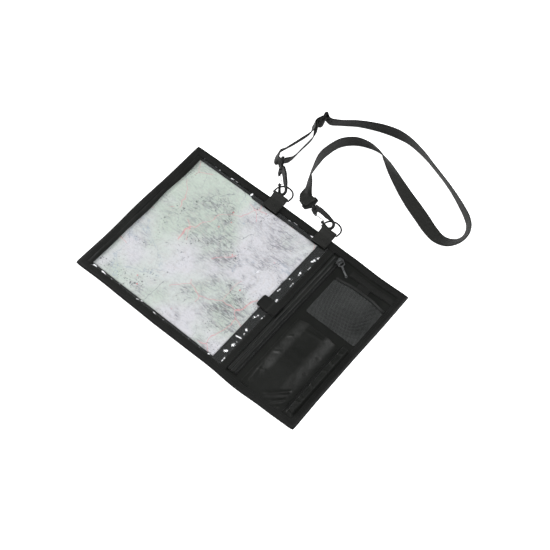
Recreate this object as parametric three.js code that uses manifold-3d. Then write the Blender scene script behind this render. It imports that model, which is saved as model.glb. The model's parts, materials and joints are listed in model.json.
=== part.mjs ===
// Map case: an open nylon case with a clear map window, a zip compartment with pockets on its front, and a
// webbing neck strap that two snap hooks hold to the D-rings of the far edge.
// Millimetres, +Z up. The origin is on the underside at the middle of the case. +X runs towards the pockets
// and +Y towards the D-rings.
import * as THREE from 'three';
import { mergeVertices } from 'three/addons/utils/BufferGeometryUtils.js';
import Module from 'manifold-3d';

const wasm = await Module();
wasm.setup();

// Sizes of the case
const caseLength = 400;
const caseDepth = 266;
const clearance = 0.3;
const clothThick = 1.0;
const bindingWidth = 12;
const bindingWall = 0.9;
const clothEdgeInset = 4;
const rimStepWidth = 2.7;

// Sizes of the window and the map
const organiserWidth = 132;
const filmThick = 0.6;
const mapFromWindowEnd = 21;
const mapThick = 0.9;
const mapMargin = 2;
const endBandWidth = 7.2;
const hemWidth = 11;
const hemOverlap = 5.4;
const tabLength = 33;
const tabWidth = 20;
const tabThick = 1.5;

// Sizes of the fold strip and the zip
const foldStripWidth = 11.4;
const zipTapeWidth = 6.8;
const zipCoilWidth = 2.6;
const zipCoilHeight = 1.4;
const zipEndGap = 1;
const zipSliderFromEnd = 19.6;
const zipSliderWidth = 9;
const zipSliderLength = 11.6;
const zipSliderPlate = 1.1;
const bridgeLength = 8.2;
const bridgeHole = 6.2;
const bridgeBar = 1.0;
const bridgeRise = 2.6;
const pullLength = 28;
const pullWidth = 4;
const pullThick = 1.0;
const pullRail = 1.0;
const pullEyeInside = 8.4;
const pullWindow = 6.6;
const pullSwingDeg = -31;

// Sizes of the pockets
const pocketFromZip = 8.3;
const penPocketWidth = 14.7;
const cardPocketFromNet = 15;
const cardPocketPuff = 7.5;
const penPocketFromNet = 12;
const penPocketPuff = 8;
const pocketSeam = 4;
const meshDepth = 67;
const meshFromFarEdge = 46;
const meshPuff = 9;
const meshThick = 1.0;
const meshHoleColumns = 11;
const meshHoleRows = 8;
const meshHoleSize = 5;
const meshBorder = 5;
const hemCordWidth = 4;
const hemCordThick = 1.6;
const topStripWidth = 10;
const topStripFromFarEdge = 29;
const topStripFromPocket = 12;
const keyTabFromPocket = 32.5;
const keyTabWidth = 19;
const keyTabLength = 11;

// Sizes of the webbing, the D-rings and the snap hooks
const webWidth = 25;
const webThick = 1.5;
const webTabSewn = 18;
const webTabOut = 8;
const ringWire = 2.2;
const ringDepth = 21;
const hookThick = 4.2;
const hookNoseOuter = 8.5;
const hookNoseInner = 4.2;
const hookShank = 40;
const hookArmWidth = 7.2;
const hookBaseHalf = 5.2;
const hookBevel = 1.2;
const nubRadius = 2.5;
const nubBack = 11;
const nubOut = 5.6;
const gateWire = 1.0;
const gatePivotBack = 27.3;
const gatePivotOut = 5.4;
const collarRadius = 3.6;
const collarLength = 6;
const swivelPin = 1.6;
const swivelPinLength = 5;
const headBar = 3.0;
const headThick = 3.6;
const headSlot = 3.8;
const headSlotLength = 20.8;
const headSide = 2.2;
const headNeck = 4.4;

// Sizes of the neck strap's adjuster
const glideBar = 2.2;
const glideMiddleBar = 2.4;
const glideSlot = 6.4;
const glideThick = 2.4;
const glideRail = 2.5;
const strapReach = 226;

// Heights of the layers
const rimBottom = bindingWall + clearance;
const frontBottom = rimBottom + clothThick + clearance;
const frontTop = frontBottom + clothThick;
const bindingHeight = frontTop + clearance + bindingWall;
const filmTop = frontBottom + filmThick;

const halfLength = caseLength / 2;
const halfDepth = caseDepth / 2;
const innerHalfDepth = halfDepth - bindingWidth - clearance;
const innerRight = halfLength - bindingWidth - clearance;
const windowRight = halfLength - organiserWidth;

const colours = {
  nylon: '#1d1f1c', grosgrain: '#232522', mesh: '#2a2c2a', plastic: '#161717', steel: '#b9bcbd',
  webbing: '#1f211f', paper: '#c9cac8', film: '#e8ecee', coil: '#3a3c39', pull: '#9fa3a2',
};

function material(colour, roughness, metalness = 0) {
  return new THREE.MeshStandardMaterial({ color: colour, roughness, metalness });
}

const nylon = material(colours.nylon, 0.7);
const grosgrain = material(colours.grosgrain, 0.85);
const net = material(colours.mesh, 0.8);
const plastic = material(colours.plastic, 0.4);
const steel = material(colours.steel, 0.3, 1);
const webbing = material(colours.webbing, 0.8);
const paper = material(colours.paper, 0.7);
const clearFilm = material(colours.film, 0.12);
const coilPlastic = material(colours.coil, 0.5);
const pullMetal = material(colours.pull, 0.4, 1);

const part = new THREE.Group();

// Turns a closed geometry into a solid that can be joined and cut.
function solidOf(geometry) {
  const bare = geometry.clone();
  bare.deleteAttribute('normal');
  bare.deleteAttribute('uv');
  const merged = mergeVertices(bare, 1e-4);
  return new wasm.Manifold(new wasm.Mesh({
    numProp: 3,
    vertProperties: new Float32Array(merged.attributes.position.array),
    triVerts: new Uint32Array(merged.index.array),
  }));
}

function geometryOf(solid) {
  const mesh = solid.getMesh();
  const geometry = new THREE.BufferGeometry();
  geometry.setAttribute('position', new THREE.BufferAttribute(mesh.vertProperties, 3));
  geometry.setIndex(new THREE.BufferAttribute(mesh.triVerts, 1));
  return geometry;
}

function addPiece(name, solid, look) {
  const mesh = new THREE.Mesh(geometryOf(solid), look);
  mesh.name = name;
  part.add(mesh);
  return mesh;
}

// An upright slab of a plan outline between two heights.
function slab(points, bottom, top) {
  const shape = new THREE.Shape(points.map(([x, y]) => new THREE.Vector2(x, y)));
  const geometry = new THREE.ExtrudeGeometry(shape, { depth: top - bottom, bevelEnabled: false });
  geometry.translate(0, 0, bottom);
  return solidOf(geometry);
}

function block(x0, x1, y0, y1, z0, z1) {
  return slab([[x0, y0], [x1, y0], [x1, y1], [x0, y1]], z0, z1);
}

// A bar of a given outline in the (Y, Z) plane, from x0 to x1.
function barAlongX(shape, x0, x1) {
  const depth = x1 - x0;
  const geometry = new THREE.ExtrudeGeometry(shape, { depth, bevelEnabled: false, curveSegments: 6 });
  geometry.applyMatrix4(new THREE.Matrix4().makeBasis(
    new THREE.Vector3(0, 1, 0), new THREE.Vector3(0, 0, 1), new THREE.Vector3(1, 0, 0)));
  geometry.translate(x0, 0, 0);
  return solidOf(geometry);
}

// A bar of a given outline in the (X, Z) plane, from y0 to y1.
function barAlongY(shape, y0, y1) {
  const depth = y1 - y0;
  const geometry = new THREE.ExtrudeGeometry(shape, { depth, bevelEnabled: false, curveSegments: 6 });
  geometry.rotateX(Math.PI / 2);
  geometry.translate(0, y1, 0);
  return solidOf(geometry);
}

function rod(radius, from, to, sides = 10) {
  const along = new THREE.Vector3().subVectors(to, from);
  const geometry = new THREE.CylinderGeometry(radius, radius, along.length(), sides);
  geometry.applyQuaternion(new THREE.Quaternion().setFromUnitVectors(
    new THREE.Vector3(0, 1, 0), along.clone().normalize()));
  geometry.translate((from.x + to.x) / 2, (from.y + to.y) / 2, (from.z + to.z) / 2);
  return solidOf(geometry);
}

function ball(radius, centre) {
  const geometry = new THREE.SphereGeometry(radius, 8, 6);
  geometry.translate(centre.x, centre.y, centre.z);
  return solidOf(geometry);
}

// The case's outline. Its sides bow in and out a little, as shares of the depth, at even steps along them.
const sideBows = {
  near: [0, -0.004, -0.002, 0, -0.002, -0.004, 0.003, -0.005, -0.013],
  right: [0.003, -0.001, -0.002, 0, -0.002],
  far: [-0.002, -0.006, 0, 0.002, 0.004, 0.004, 0.002, 0.002, 0],
  left: [0, -0.002, 0.002, -0.004, 0],
};

function caseOutline(inset) {
  const x = halfLength - inset;
  const y = halfDepth - inset;
  const points = [];
  const walk = (bows, at) => {
    bows.slice(0, -1).forEach((bow, i) => points.push(at(2 * i / (bows.length - 1) - 1, bow * caseDepth)));
  };
  walk(sideBows.near, (s, out) => [s * x, -y - out]);
  walk(sideBows.right, (s, out) => [x + out, s * y]);
  walk(sideBows.far, (s, out) => [-s * x, y + out]);
  walk(sideBows.left, (s, out) => [-x - out, -s * y]);
  const cornerLift = sideBows.near.at(-1) * caseDepth;
  const nearRight = points.find(([px, py]) => px > x - 2 && py < -y + 2);
  nearRight[1] -= cornerLift;
  return points;
}

function outlineSlab(inset, bottom, top) {
  return slab(caseOutline(inset), bottom, top);
}

// Pieces that lie inside the binding are trimmed to its inner edge, or to the step of the back sheet's rim.
const rimStart = bindingWidth + clearance;
const insideBinding = outlineSlab(rimStart, -1, bindingHeight * 10);
const insideStep = outlineSlab(rimStart + rimStepWidth + clearance, -1, bindingHeight * 10);

// The back sheet lies on the table, and its rim steps up into the binding.
const backPanel = outlineSlab(rimStart, 0, clothThick)
  .add(outlineSlab(rimStart, 0, rimBottom + clothThick).subtract(
    outlineSlab(rimStart + rimStepWidth, -1, bindingHeight)))
  .add(outlineSlab(clothEdgeInset, rimBottom, rimBottom + clothThick).subtract(
    outlineSlab(rimStart + rimStepWidth, -1, bindingHeight)));
addPiece('back_panel', backPanel, nylon);

// The binding is a channel that is folded over the edges of the back sheet and the front layers.
const edgeBinding = outlineSlab(0, 0, bindingHeight)
  .subtract(outlineSlab(bindingWidth, -1, bindingHeight + 1))
  .subtract(outlineSlab(clothEdgeInset - clearance, bindingWall, bindingHeight - bindingWall));
addPiece('edge_binding', edgeBinding, grosgrain);

// The end band covers the closed end of the window. Its free edge wanders, as shares of its own width.
const endBandEdge = [0.05, 0.12, 0.02, 0.16, -0.1, 0.14, 0];
const endBandLeft = -halfLength + rimStart;
const endBandBottom = filmTop + clearance;
const endBandPoints = [[-halfLength, halfDepth], [-halfLength, -halfDepth]];
endBandEdge.forEach((bow, i) => {
  const y = halfDepth * (2 * i / (endBandEdge.length - 1) - 1);
  endBandPoints.push([endBandLeft + endBandWidth * (1 + bow), y]);
});
const endBand = slab(endBandPoints, endBandBottom, endBandBottom + clothThick).intersect(insideBinding);
addPiece('end_band', endBand, nylon);

// The map is a folded sheet that lies under the window, a little short of its sides.
const mapLeft = endBandLeft + endBandWidth / 2;
const mapRight = windowRight - mapFromWindowEnd;
const mapHalf = innerHalfDepth - rimStepWidth - mapMargin;
const mapStepX = mapLeft + (mapRight - mapLeft) * 0.45;
const mapBottom = clothThick + clearance;
const mapSheet = slab([
  [mapLeft, -mapHalf], [mapRight, -mapHalf], [mapRight, mapHalf - mapMargin / 2],
  [mapStepX, mapHalf - mapMargin], [mapStepX, mapHalf], [mapLeft, mapHalf],
], mapBottom, mapBottom + mapThick).intersect(insideStep);
addPiece('map_sheet', mapSheet, paper);

// The film is sewn in along three sides. Its right edge is the mouth, bound by a hem.
const windowFilm = outlineSlab(clothEdgeInset, frontBottom, filmTop)
  .intersect(block(-halfLength, windowRight, -halfDepth, halfDepth, 0, bindingHeight));
addPiece('window_film', windowFilm, clearFilm);

const hemLeft = windowRight - hemOverlap;
const hemRight = hemLeft + hemWidth;
const hemBottom = filmTop + clearance;
const hemTop = hemBottom + clothThick;
const windowHem = block(hemLeft, hemRight, -halfDepth, halfDepth, hemBottom, hemTop).intersect(insideBinding);
addPiece('window_hem', windowHem, grosgrain);

// The tab comes over the hem and closes on the film.
const tabLeft = hemRight - tabLength;
const tabMiddleY = -0.053 * halfDepth;
const tabStep = hemTop + clearance;
const tabProfile = new THREE.Shape([
  [tabLeft, hemBottom], [hemLeft - clearance - tabThick, hemBottom], [hemLeft - clearance, tabStep],
  [hemRight, tabStep], [hemRight, tabStep + tabThick], [hemLeft - clearance - tabThick, tabStep + tabThick],
  [hemLeft - clearance - 2 * tabThick, hemBottom + tabThick], [tabLeft, hemBottom + tabThick],
].map(([x, z]) => new THREE.Vector2(x, z)));
addPiece('closure_tab', barAlongY(tabProfile, tabMiddleY - tabWidth / 2, tabMiddleY + tabWidth / 2), webbing);

// The fold strip is sewn down between the window and the zip, and the case folds along it.
const layBottom = clothThick + clearance;
const foldLeft = hemRight + clearance;
const foldRight = foldLeft + foldStripWidth;
const foldStrip = block(foldLeft, foldRight, -halfDepth, halfDepth, layBottom, frontTop)
  .intersect(insideStep);
addPiece('fold_strip', foldStrip, nylon);

// The zip: a tape, a closed coil, and a slider at its far end.
const tapeLeft = foldRight + clearance;
const tapeRight = tapeLeft + zipTapeWidth;
const tapeTop = frontTop - clearance - clearance;
const zipX = (tapeLeft + tapeRight) / 2;
const zipHalf = innerHalfDepth - rimStepWidth - zipEndGap;
addPiece('zip_tape', block(tapeLeft, tapeRight, -zipHalf, zipHalf, layBottom, tapeTop), nylon);

const coilBottom = tapeTop + clearance;
const coilShape = new THREE.Shape();
coilShape.moveTo(zipX + zipCoilWidth / 2, coilBottom);
coilShape.lineTo(zipX + zipCoilWidth / 2, coilBottom + zipCoilHeight * 0.4);
coilShape.lineTo(zipX + zipCoilWidth / 4, coilBottom + zipCoilHeight);
coilShape.lineTo(zipX - zipCoilWidth / 4, coilBottom + zipCoilHeight);
coilShape.lineTo(zipX - zipCoilWidth / 2, coilBottom + zipCoilHeight * 0.4);
coilShape.lineTo(zipX - zipCoilWidth / 2, coilBottom);
addPiece('zip_coil', barAlongY(coilShape, -zipHalf, zipHalf), coilPlastic);

const sliderY = halfDepth - zipSliderFromEnd;
const sliderBottom = frontTop + clearance;
const channelTop = coilBottom + zipCoilHeight + clearance;
const sliderTop = channelTop + zipSliderPlate;
const channelHalf = zipCoilWidth / 2 + clearance;
const sliderEnd = zipSliderLength / 2;
const sliderOutline = [
  [zipX - zipSliderWidth / 2, sliderY + sliderEnd * 0.6], [zipX - zipSliderWidth / 3, sliderY - sliderEnd],
  [zipX + zipSliderWidth / 3, sliderY - sliderEnd], [zipX + zipSliderWidth / 2, sliderY + sliderEnd * 0.6],
  [zipX + zipSliderWidth / 3, sliderY + sliderEnd], [zipX - zipSliderWidth / 3, sliderY + sliderEnd],
];
const bridgeTop = sliderTop + bridgeRise + bridgeBar;
const bridgeShape = new THREE.Shape([
  [sliderY - bridgeLength / 2, sliderTop - zipSliderPlate / 2],
  [sliderY + bridgeLength / 2, sliderTop - zipSliderPlate / 2],
  [sliderY + bridgeLength / 2, bridgeTop - bridgeBar], [sliderY + bridgeHole / 2, bridgeTop],
  [sliderY - bridgeHole / 2, bridgeTop], [sliderY - bridgeLength / 2, bridgeTop - bridgeBar],
].map(([y, z]) => new THREE.Vector2(y, z)));
const zipSlider = slab(sliderOutline, sliderBottom, sliderTop)
  .subtract(block(zipX - channelHalf, zipX + channelHalf, sliderY - zipSliderLength,
    sliderY + zipSliderLength, 0, channelTop))
  .add(barAlongX(bridgeShape, zipX - bridgeBar / 2, zipX + bridgeBar / 2))
  .subtract(block(zipX - bridgeBar, zipX + bridgeBar, sliderY - bridgeHole / 2, sliderY + bridgeHole / 2,
    sliderTop, sliderTop + bridgeRise));
addPiece('zip_slider', zipSlider, pullMetal);

// The pull hangs on the bridge by the cross bar of its eye, lies over to the right and touches the panel.
// It is made along +X from its cross bar and then tipped down and swung round.
const pullPivot = new THREE.Vector3(zipX, sliderY, sliderTop + bridgeRise / 2);
const pullEyeHalf = pullEyeInside / 2 + pullRail;
const pullEyeEnd = pullWindow + 2 * pullRail;
const pullTipRadius = pullWidth / 2;
const pullShape = new THREE.Shape();
pullShape.moveTo(-pullRail / 2, -pullEyeHalf);
pullShape.lineTo(pullEyeEnd - pullRail, -pullEyeHalf);
pullShape.lineTo(pullEyeEnd + pullRail, -pullTipRadius * 0.7);
pullShape.lineTo(pullLength - pullTipRadius * 2, -pullTipRadius * 0.7);
pullShape.absarc(pullLength - pullTipRadius, 0, pullTipRadius, -Math.PI * 0.75, Math.PI * 0.75, false);
pullShape.lineTo(pullEyeEnd + pullRail, pullTipRadius * 0.7);
pullShape.lineTo(pullEyeEnd - pullRail, pullEyeHalf);
pullShape.lineTo(-pullRail / 2, pullEyeHalf);
const pullWindowHole = new THREE.Path([
  [pullRail / 2, -pullEyeInside / 2], [pullRail / 2, pullEyeInside / 2],
  [pullWindow, pullEyeInside / 2], [pullEyeEnd, 0], [pullWindow, -pullEyeInside / 2],
].map(([x, y]) => new THREE.Vector2(x, y)));
const pullTipHole = new THREE.Path();
pullTipHole.absarc(pullLength - pullTipRadius, 0, pullTipRadius / 2, 0, Math.PI * 2, true);
pullShape.holes.push(pullWindowHole, pullTipHole);
const pullGeometry = new THREE.ExtrudeGeometry(pullShape, {
  depth: pullThick, bevelEnabled: false, curveSegments: 6,
});
pullGeometry.translate(0, 0, -pullThick / 2);
const pullTip = frontTop + clearance + pullThick / 2;
const pullSlope = Math.asin((pullPivot.z - pullTip) / pullLength);
pullGeometry.rotateY(pullSlope);
pullGeometry.rotateZ(THREE.MathUtils.degToRad(pullSwingDeg));
pullGeometry.translate(pullPivot.x, pullPivot.y, pullPivot.z);
addPiece('zip_pull', solidOf(pullGeometry), pullMetal);

// The organiser panel fills the front from the zip to the right binding.
const panelLeft = tapeRight + clearance;
const organiserPanel = outlineSlab(clothEdgeInset, frontBottom, frontTop)
  .intersect(block(panelLeft, halfLength, -halfDepth, halfDepth, 0, bindingHeight));
addPiece('organiser_panel', organiserPanel, nylon);

// A sheet of cloth sewn down on a rectangle, standing up by height(u, v), where u and v run from 0 to 1.
function puffedSheet(x0, x1, y0, y1, columns, rows, thick, height) {
  const geometry = new THREE.BoxGeometry(1, 1, 1, columns, rows, 1);
  const position = geometry.attributes.position;
  for (let i = 0; i < position.count; i += 1) {
    const u = position.getX(i) + 0.5;
    const v = position.getY(i) + 0.5;
    const layer = position.getZ(i) + 0.5;
    const lift = height(u, v);
    position.setXYZ(i, x0 + u * (x1 - x0), y0 + v * (y1 - y0), frontTop + clearance + lift + layer * thick);
  }
  return solidOf(geometry).intersect(insideBinding);
}

function smooth(value) {
  const t = Math.min(Math.max(value, 0), 1);
  return t * t * (3 - 2 * t);
}

// Folds are straight ridges. Each row: where the fold starts and ends on the sheet, its width and its rise.
function foldLift(folds, u, v) {
  return folds.reduce((sum, fold) => {
    const along = new THREE.Vector2(fold.u1 - fold.u0, fold.v1 - fold.v0);
    const from = new THREE.Vector2(u - fold.u0, v - fold.v0);
    const share = from.dot(along) / along.lengthSq();
    const aside = Math.abs(from.cross(along)) / along.length();
    const ends = smooth(share * 4) * smooth((1 - share) * 4);
    return sum + fold.rise * ends * smooth(1 - aside / fold.wide);
  }, 0);
}

// The card pocket stands open at its mouth, lies flat at its sides and its bottom, and creases at its corner.
const cardFolds = [
  { u0: 0.45, v0: 0.0, u1: 1.0, v1: 0.3, wide: 0.07, rise: 0.2 },
  { u0: 0.62, v0: -0.04, u1: 1.05, v1: 0.18, wide: 0.05, rise: 0.16 },
  { u0: 0.15, v0: 0.02, u1: 0.05, v1: 0.4, wide: 0.05, rise: 0.1 },
];
const pocketLeft = panelLeft + pocketFromZip;
const pocketDivider = innerRight - penPocketWidth;
const meshFar = halfDepth - meshFromFarEdge;
const meshNear = meshFar - meshDepth;
const cardPocketMouth = meshNear - cardPocketFromNet;
const cardLeft = pocketLeft;
const cardRight = pocketDivider - clearance / 2;
const pocketNear = -innerHalfDepth;
const cardSeam = pocketSeam / (cardRight - cardLeft);
const cardLift = (u, v) => {
  const across = smooth((u - cardSeam / 2) / 0.3) * smooth((1 - cardSeam - u) / 0.28);
  const along = smooth(v / 0.45) * (0.75 + 0.25 * v);
  return cardPocketPuff * across * (along + foldLift(cardFolds, u, v));
};
const cardPocket = puffedSheet(cardLeft, cardRight, pocketNear, cardPocketMouth, 16, 16, clothThick, cardLift);
addPiece('card_pocket', cardPocket, nylon);

// The pen pocket is a narrow tube of the same cloth, with cross wrinkles.
const penWrinkles = [
  { u0: 0.0, v0: 0.12, u1: 1.0, v1: 0.17, wide: 0.03, rise: 0.14 },
  { u0: 0.0, v0: 0.42, u1: 1.0, v1: 0.36, wide: 0.03, rise: 0.12 },
  { u0: 0.0, v0: 0.66, u1: 1.0, v1: 0.72, wide: 0.03, rise: 0.12 },
];
const penPocketMouth = meshNear - penPocketFromNet;
const penLeft = pocketDivider + clearance / 2;
const penSeam = pocketSeam * 0.8 / (innerRight - penLeft);
const penLift = (u, v) => {
  const across = smooth((u - penSeam) / 0.2) * smooth((1 - u) / 0.16);
  const along = smooth(v / 0.12);
  return penPocketPuff * across * (along * (0.86 + 0.14 * v) + foldLift(penWrinkles, u, v));
};
const penPocket = puffedSheet(penLeft, innerRight, pocketNear, penPocketMouth, 7, 14, clothThick, penLift);
addPiece('pen_pocket', penPocket, nylon);

// The net pocket bulges in the middle. Its holes are diamonds, cut through in staggered rows.
const meshLeft = pocketLeft;
const meshRight = innerRight;
const meshLift = (u, v) => {
  const across = smooth((u - 0.04) / 0.34) * smooth((0.97 - u) / 0.26);
  const along = smooth(v / 0.4) * (1 - 0.25 * smooth((v - 0.6) / 0.4));
  return meshPuff * across * along;
};
const meshSheet = puffedSheet(meshLeft, meshRight, meshNear, meshFar, 10, 7, meshThick, meshLift);
const holes = [];
const holeStepX = (meshRight - meshLeft - 2 * meshBorder) / meshHoleColumns;
const holeStepY = (meshFar - meshNear - 2 * meshBorder) / meshHoleRows;
for (let row = 0; row < meshHoleRows; row += 1) {
  for (let column = 0; column < meshHoleColumns; column += 1) {
    const x = meshLeft + meshBorder + holeStepX * (column + 0.3 + (row % 2) * 0.4);
    const y = meshNear + meshBorder + holeStepY * (row + 0.5);
    const half = meshHoleSize / 2;
    const diamond = [[x - half, y], [x, y - half], [x + half, y], [x, y + half]];
    holes.push(slab(diamond, 0, bindingHeight + 2 * meshPuff));
  }
}
addPiece('mesh_pocket', meshSheet.subtract(wasm.Manifold.union(holes)), net);

// Bends a flat ribbon along stations. Each has its middle, the direction of its width and its own width.
function ribbon(stations, thick, stepsPerSpan) {
  const middles = new THREE.CatmullRomCurve3(stations.map((s) => s.middle), false, 'centripetal');
  const spans = stations.map((s) => s.across.clone().multiplyScalar(s.width));
  const widths = new THREE.CatmullRomCurve3(spans, false, 'centripetal');
  const steps = (stations.length - 1) * stepsPerSpan;
  const geometry = new THREE.BoxGeometry(1, 1, 1, steps, 1, 1);
  const position = geometry.attributes.position;
  const frames = [];
  for (let i = 0; i <= steps; i += 1) {
    const t = i / steps;
    const across = widths.getPoint(t);
    const along = middles.getTangent(t);
    const width = across.length();
    across.normalize();
    across.addScaledVector(along, -across.dot(along)).normalize();
    const facing = new THREE.Vector3().crossVectors(along, across);
    frames.push({ middle: middles.getPoint(t), across, width, facing });
  }
  for (let i = 0; i < position.count; i += 1) {
    const frame = frames[Math.round((position.getX(i) + 0.5) * steps)];
    const point = frame.middle.clone()
      .addScaledVector(frame.across, position.getY(i) * frame.width)
      .addScaledVector(frame.facing, position.getZ(i) * thick);
    position.setXYZ(i, point.x, point.y, point.z);
  }
  return solidOf(geometry);
}

// The elastic edge of the net pocket follows its mouth.
const hemCordY = meshFar + clearance + hemCordWidth / 2;
const hemStations = [0.006, 0.12, 0.3, 0.5, 0.7, 0.86, 0.994].map((u) => {
  const lift = meshLift(u, 1) + frontTop + clearance + hemCordThick / 2;
  return {
    middle: new THREE.Vector3(meshLeft + u * (meshRight - meshLeft), hemCordY, lift),
    across: new THREE.Vector3(0, 1, 0),
    width: hemCordWidth,
  };
});
addPiece('mesh_hem', ribbon(hemStations, hemCordThick, 3).intersect(insideBinding), grosgrain);

// The webbing strip above the net pocket, with a short tab that hangs from it.
const topStripBottom = frontTop + clearance;
const topStripNear = halfDepth - topStripFromFarEdge;
const topStripLeft = pocketLeft + topStripFromPocket;
const keyTabLeft = pocketLeft + keyTabFromPocket;
const topStrip = block(topStripLeft, halfLength, topStripNear, topStripNear + topStripWidth,
  topStripBottom, topStripBottom + clothThick).intersect(insideBinding);
addPiece('top_strip', topStrip, webbing);
const keyTabFar = topStripNear - clearance;
addPiece('key_tab', block(keyTabLeft, keyTabLeft + keyTabWidth, keyTabFar - keyTabLength, keyTabFar,
  topStripBottom, topStripBottom + webThick), webbing);

// The two loops of webbing and their D-rings, left and right. Each row: where the loop is along the far edge
// as a share of half the length, the height of the ring's bar, and the ring's slope down from the case.
const ringRows = [
  { side: 'left', along: -0.2235, barHeight: 9.6, slopeDeg: 9 },
  { side: 'right', along: 0.235, barHeight: 9.6, slopeDeg: 14 },
];
const barHoleRadius = ringWire / 2 + clearance;
const loopRadius = barHoleRadius + webThick;
const tabBottom = bindingHeight + clearance;
const ringHalf = webWidth / 2 + clearance + ringWire / 2;
const ringBarY = halfDepth + webTabOut;

function webTab(row) {
  const x = row.along * halfLength;
  const start = halfDepth - webTabSewn;
  const shape = new THREE.Shape();
  shape.moveTo(start, tabBottom);
  shape.lineTo(halfDepth, tabBottom);
  shape.absarc(ringBarY, row.barHeight, loopRadius, -Math.PI * 0.65, Math.PI * 0.55, false);
  shape.lineTo(halfDepth, tabBottom + 2 * webThick);
  shape.lineTo(start, tabBottom + 2 * webThick);
  const hole = new THREE.Path();
  hole.absarc(ringBarY, row.barHeight, barHoleRadius, 0, Math.PI * 2, true);
  shape.holes.push(hole);
  return barAlongX(shape, x - webWidth / 2, x + webWidth / 2);
}

// A D-ring in its own plane: a straight bar at the origin and a round bow towards +Y.
function dRing() {
  const leg = ringDepth - ringHalf;
  const points = [new THREE.Vector3(-ringHalf, 0, 0), new THREE.Vector3(-ringHalf, leg / 2, 0)];
  for (let i = 0; i <= 8; i += 1) {
    const angle = Math.PI * (1 - i / 8);
    points.push(new THREE.Vector3(ringHalf * Math.cos(angle), leg + ringHalf * Math.sin(angle), 0));
  }
  points.push(new THREE.Vector3(ringHalf, leg / 2, 0), new THREE.Vector3(ringHalf, 0, 0));
  const section = new THREE.Shape();
  section.absarc(0, 0, ringWire / 2, 0, Math.PI * 2, false);
  const bow = new THREE.ExtrudeGeometry(section, {
    steps: 18, curveSegments: 4, bevelEnabled: false, extrudePath: new THREE.CatmullRomCurve3(points),
  });
  const left = points[0];
  const right = points.at(-1);
  return solidOf(bow).add(rod(ringWire / 2, left, right, 8))
    .add(ball(ringWire / 2, left)).add(ball(ringWire / 2, right));
}

ringRows.forEach((row) => {
  addPiece(`web_tab_${row.side}`, webTab(row), webbing);
  const ring = addPiece(`d_ring_${row.side}`, dRing(), plastic);
  ring.position.set(row.along * halfLength, ringBarY, row.barHeight);
  ring.rotation.x = -THREE.MathUtils.degToRad(row.slopeDeg);
});

// The snap hooks. A hook's own frame has its origin at the middle of its nose, +X along it from head to nose,
// +Y towards its arm and +Z out of its flat side. Each row: the ring it hangs on, the nose's place from the
// ring's bar, its heading, how far its head is above its nose, its roll, and the roll of its swivel head.
const hookRows = [
  { side: 'left', ring: 0, noseX: -5.4, noseY: 11.3, noseZ: 6.8, headingDeg: -48.1, headRise: 7,
    rollDeg: 40, headRollDeg: 79 },
  { side: 'right', ring: 1, noseX: -7.2, noseY: 10.5, noseZ: 7, headingDeg: -13.6, headRise: -2.3,
    rollDeg: 29, headRollDeg: 0 },
];
const headBarBack = hookShank + headNeck + headSlot + headBar / 2 + clearance;

function hookFrame(row, rollDeg) {
  const ring = ringRows[row.ring];
  const heading = THREE.MathUtils.degToRad(row.headingDeg);
  const pitch = Math.asin(row.headRise / headBarBack);
  const frame = new THREE.Matrix4().makeTranslation(
    ring.along * halfLength + row.noseX, ringBarY + row.noseY, row.noseZ);
  frame.multiply(new THREE.Matrix4().makeRotationZ(heading));
  frame.multiply(new THREE.Matrix4().makeRotationY(pitch));
  frame.multiply(new THREE.Matrix4().makeRotationX(THREE.MathUtils.degToRad(rollDeg)));
  return frame;
}

// The body: a base with the gate's pivot, an arm, a nose that curls round the ring, and a nub at its tip.
function hookBody() {
  const armOut = hookNoseOuter + 0.8;
  const armIn = armOut - hookArmWidth;
  const shape = new THREE.Shape();
  shape.moveTo(-hookShank + 2, -hookBaseHalf);
  shape.lineTo(-gatePivotBack - 3, -gatePivotOut - 1.9);
  shape.absarc(-gatePivotBack, -gatePivotOut, 1.9, -Math.PI * 0.6, Math.PI * 0.45, false);
  shape.lineTo(-gatePivotBack - 1.6, -0.6);
  shape.lineTo(-gatePivotBack * 0.9, armIn - 1.2);
  shape.lineTo(-nubBack, armIn);
  shape.lineTo(-2, hookNoseInner);
  shape.absarc(0, 0, hookNoseInner, Math.PI * 0.5, -Math.PI * 0.5, true);
  shape.lineTo(-4, -hookNoseInner);
  shape.lineTo(-nubBack + nubRadius * 0.8, -nubOut + nubRadius * 0.6);
  shape.absarc(-nubBack, -nubOut, nubRadius, Math.PI * 0.2, Math.PI * 1.8, false);
  shape.lineTo(-4, -hookNoseOuter + 0.8);
  shape.absarc(0, 0, hookNoseOuter, -Math.PI * 0.55, Math.PI * 0.5, false);
  shape.lineTo(-nubBack, armOut);
  shape.lineTo(-gatePivotBack, armOut - 0.9);
  shape.lineTo(-hookShank + 2, hookBaseHalf + 0.6);
  const geometry = new THREE.ExtrudeGeometry(shape, {
    depth: hookThick - 2 * hookBevel, curveSegments: 6, bevelEnabled: true, bevelThickness: hookBevel,
    bevelSize: hookBevel, bevelOffset: -hookBevel, bevelSegments: 1,
  });
  geometry.translate(0, 0, -hookThick / 2 + hookBevel);
  const collar = rod(collarRadius, new THREE.Vector3(-hookShank, 0, 0),
    new THREE.Vector3(-hookShank + collarLength, 0, 0), 12);
  const pinHole = rod(swivelPin + clearance, new THREE.Vector3(-hookShank - 1, 0, 0),
    new THREE.Vector3(-hookShank + swivelPinLength + clearance, 0, 0), 12);
  const pivotHole = rod(gateWire / 2 + clearance, new THREE.Vector3(-gatePivotBack, -gatePivotOut, -hookThick),
    new THREE.Vector3(-gatePivotBack, -gatePivotOut, hookThick), 8);
  return solidOf(geometry).add(collar).subtract(pinHole).subtract(pivotHole);
}

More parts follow.
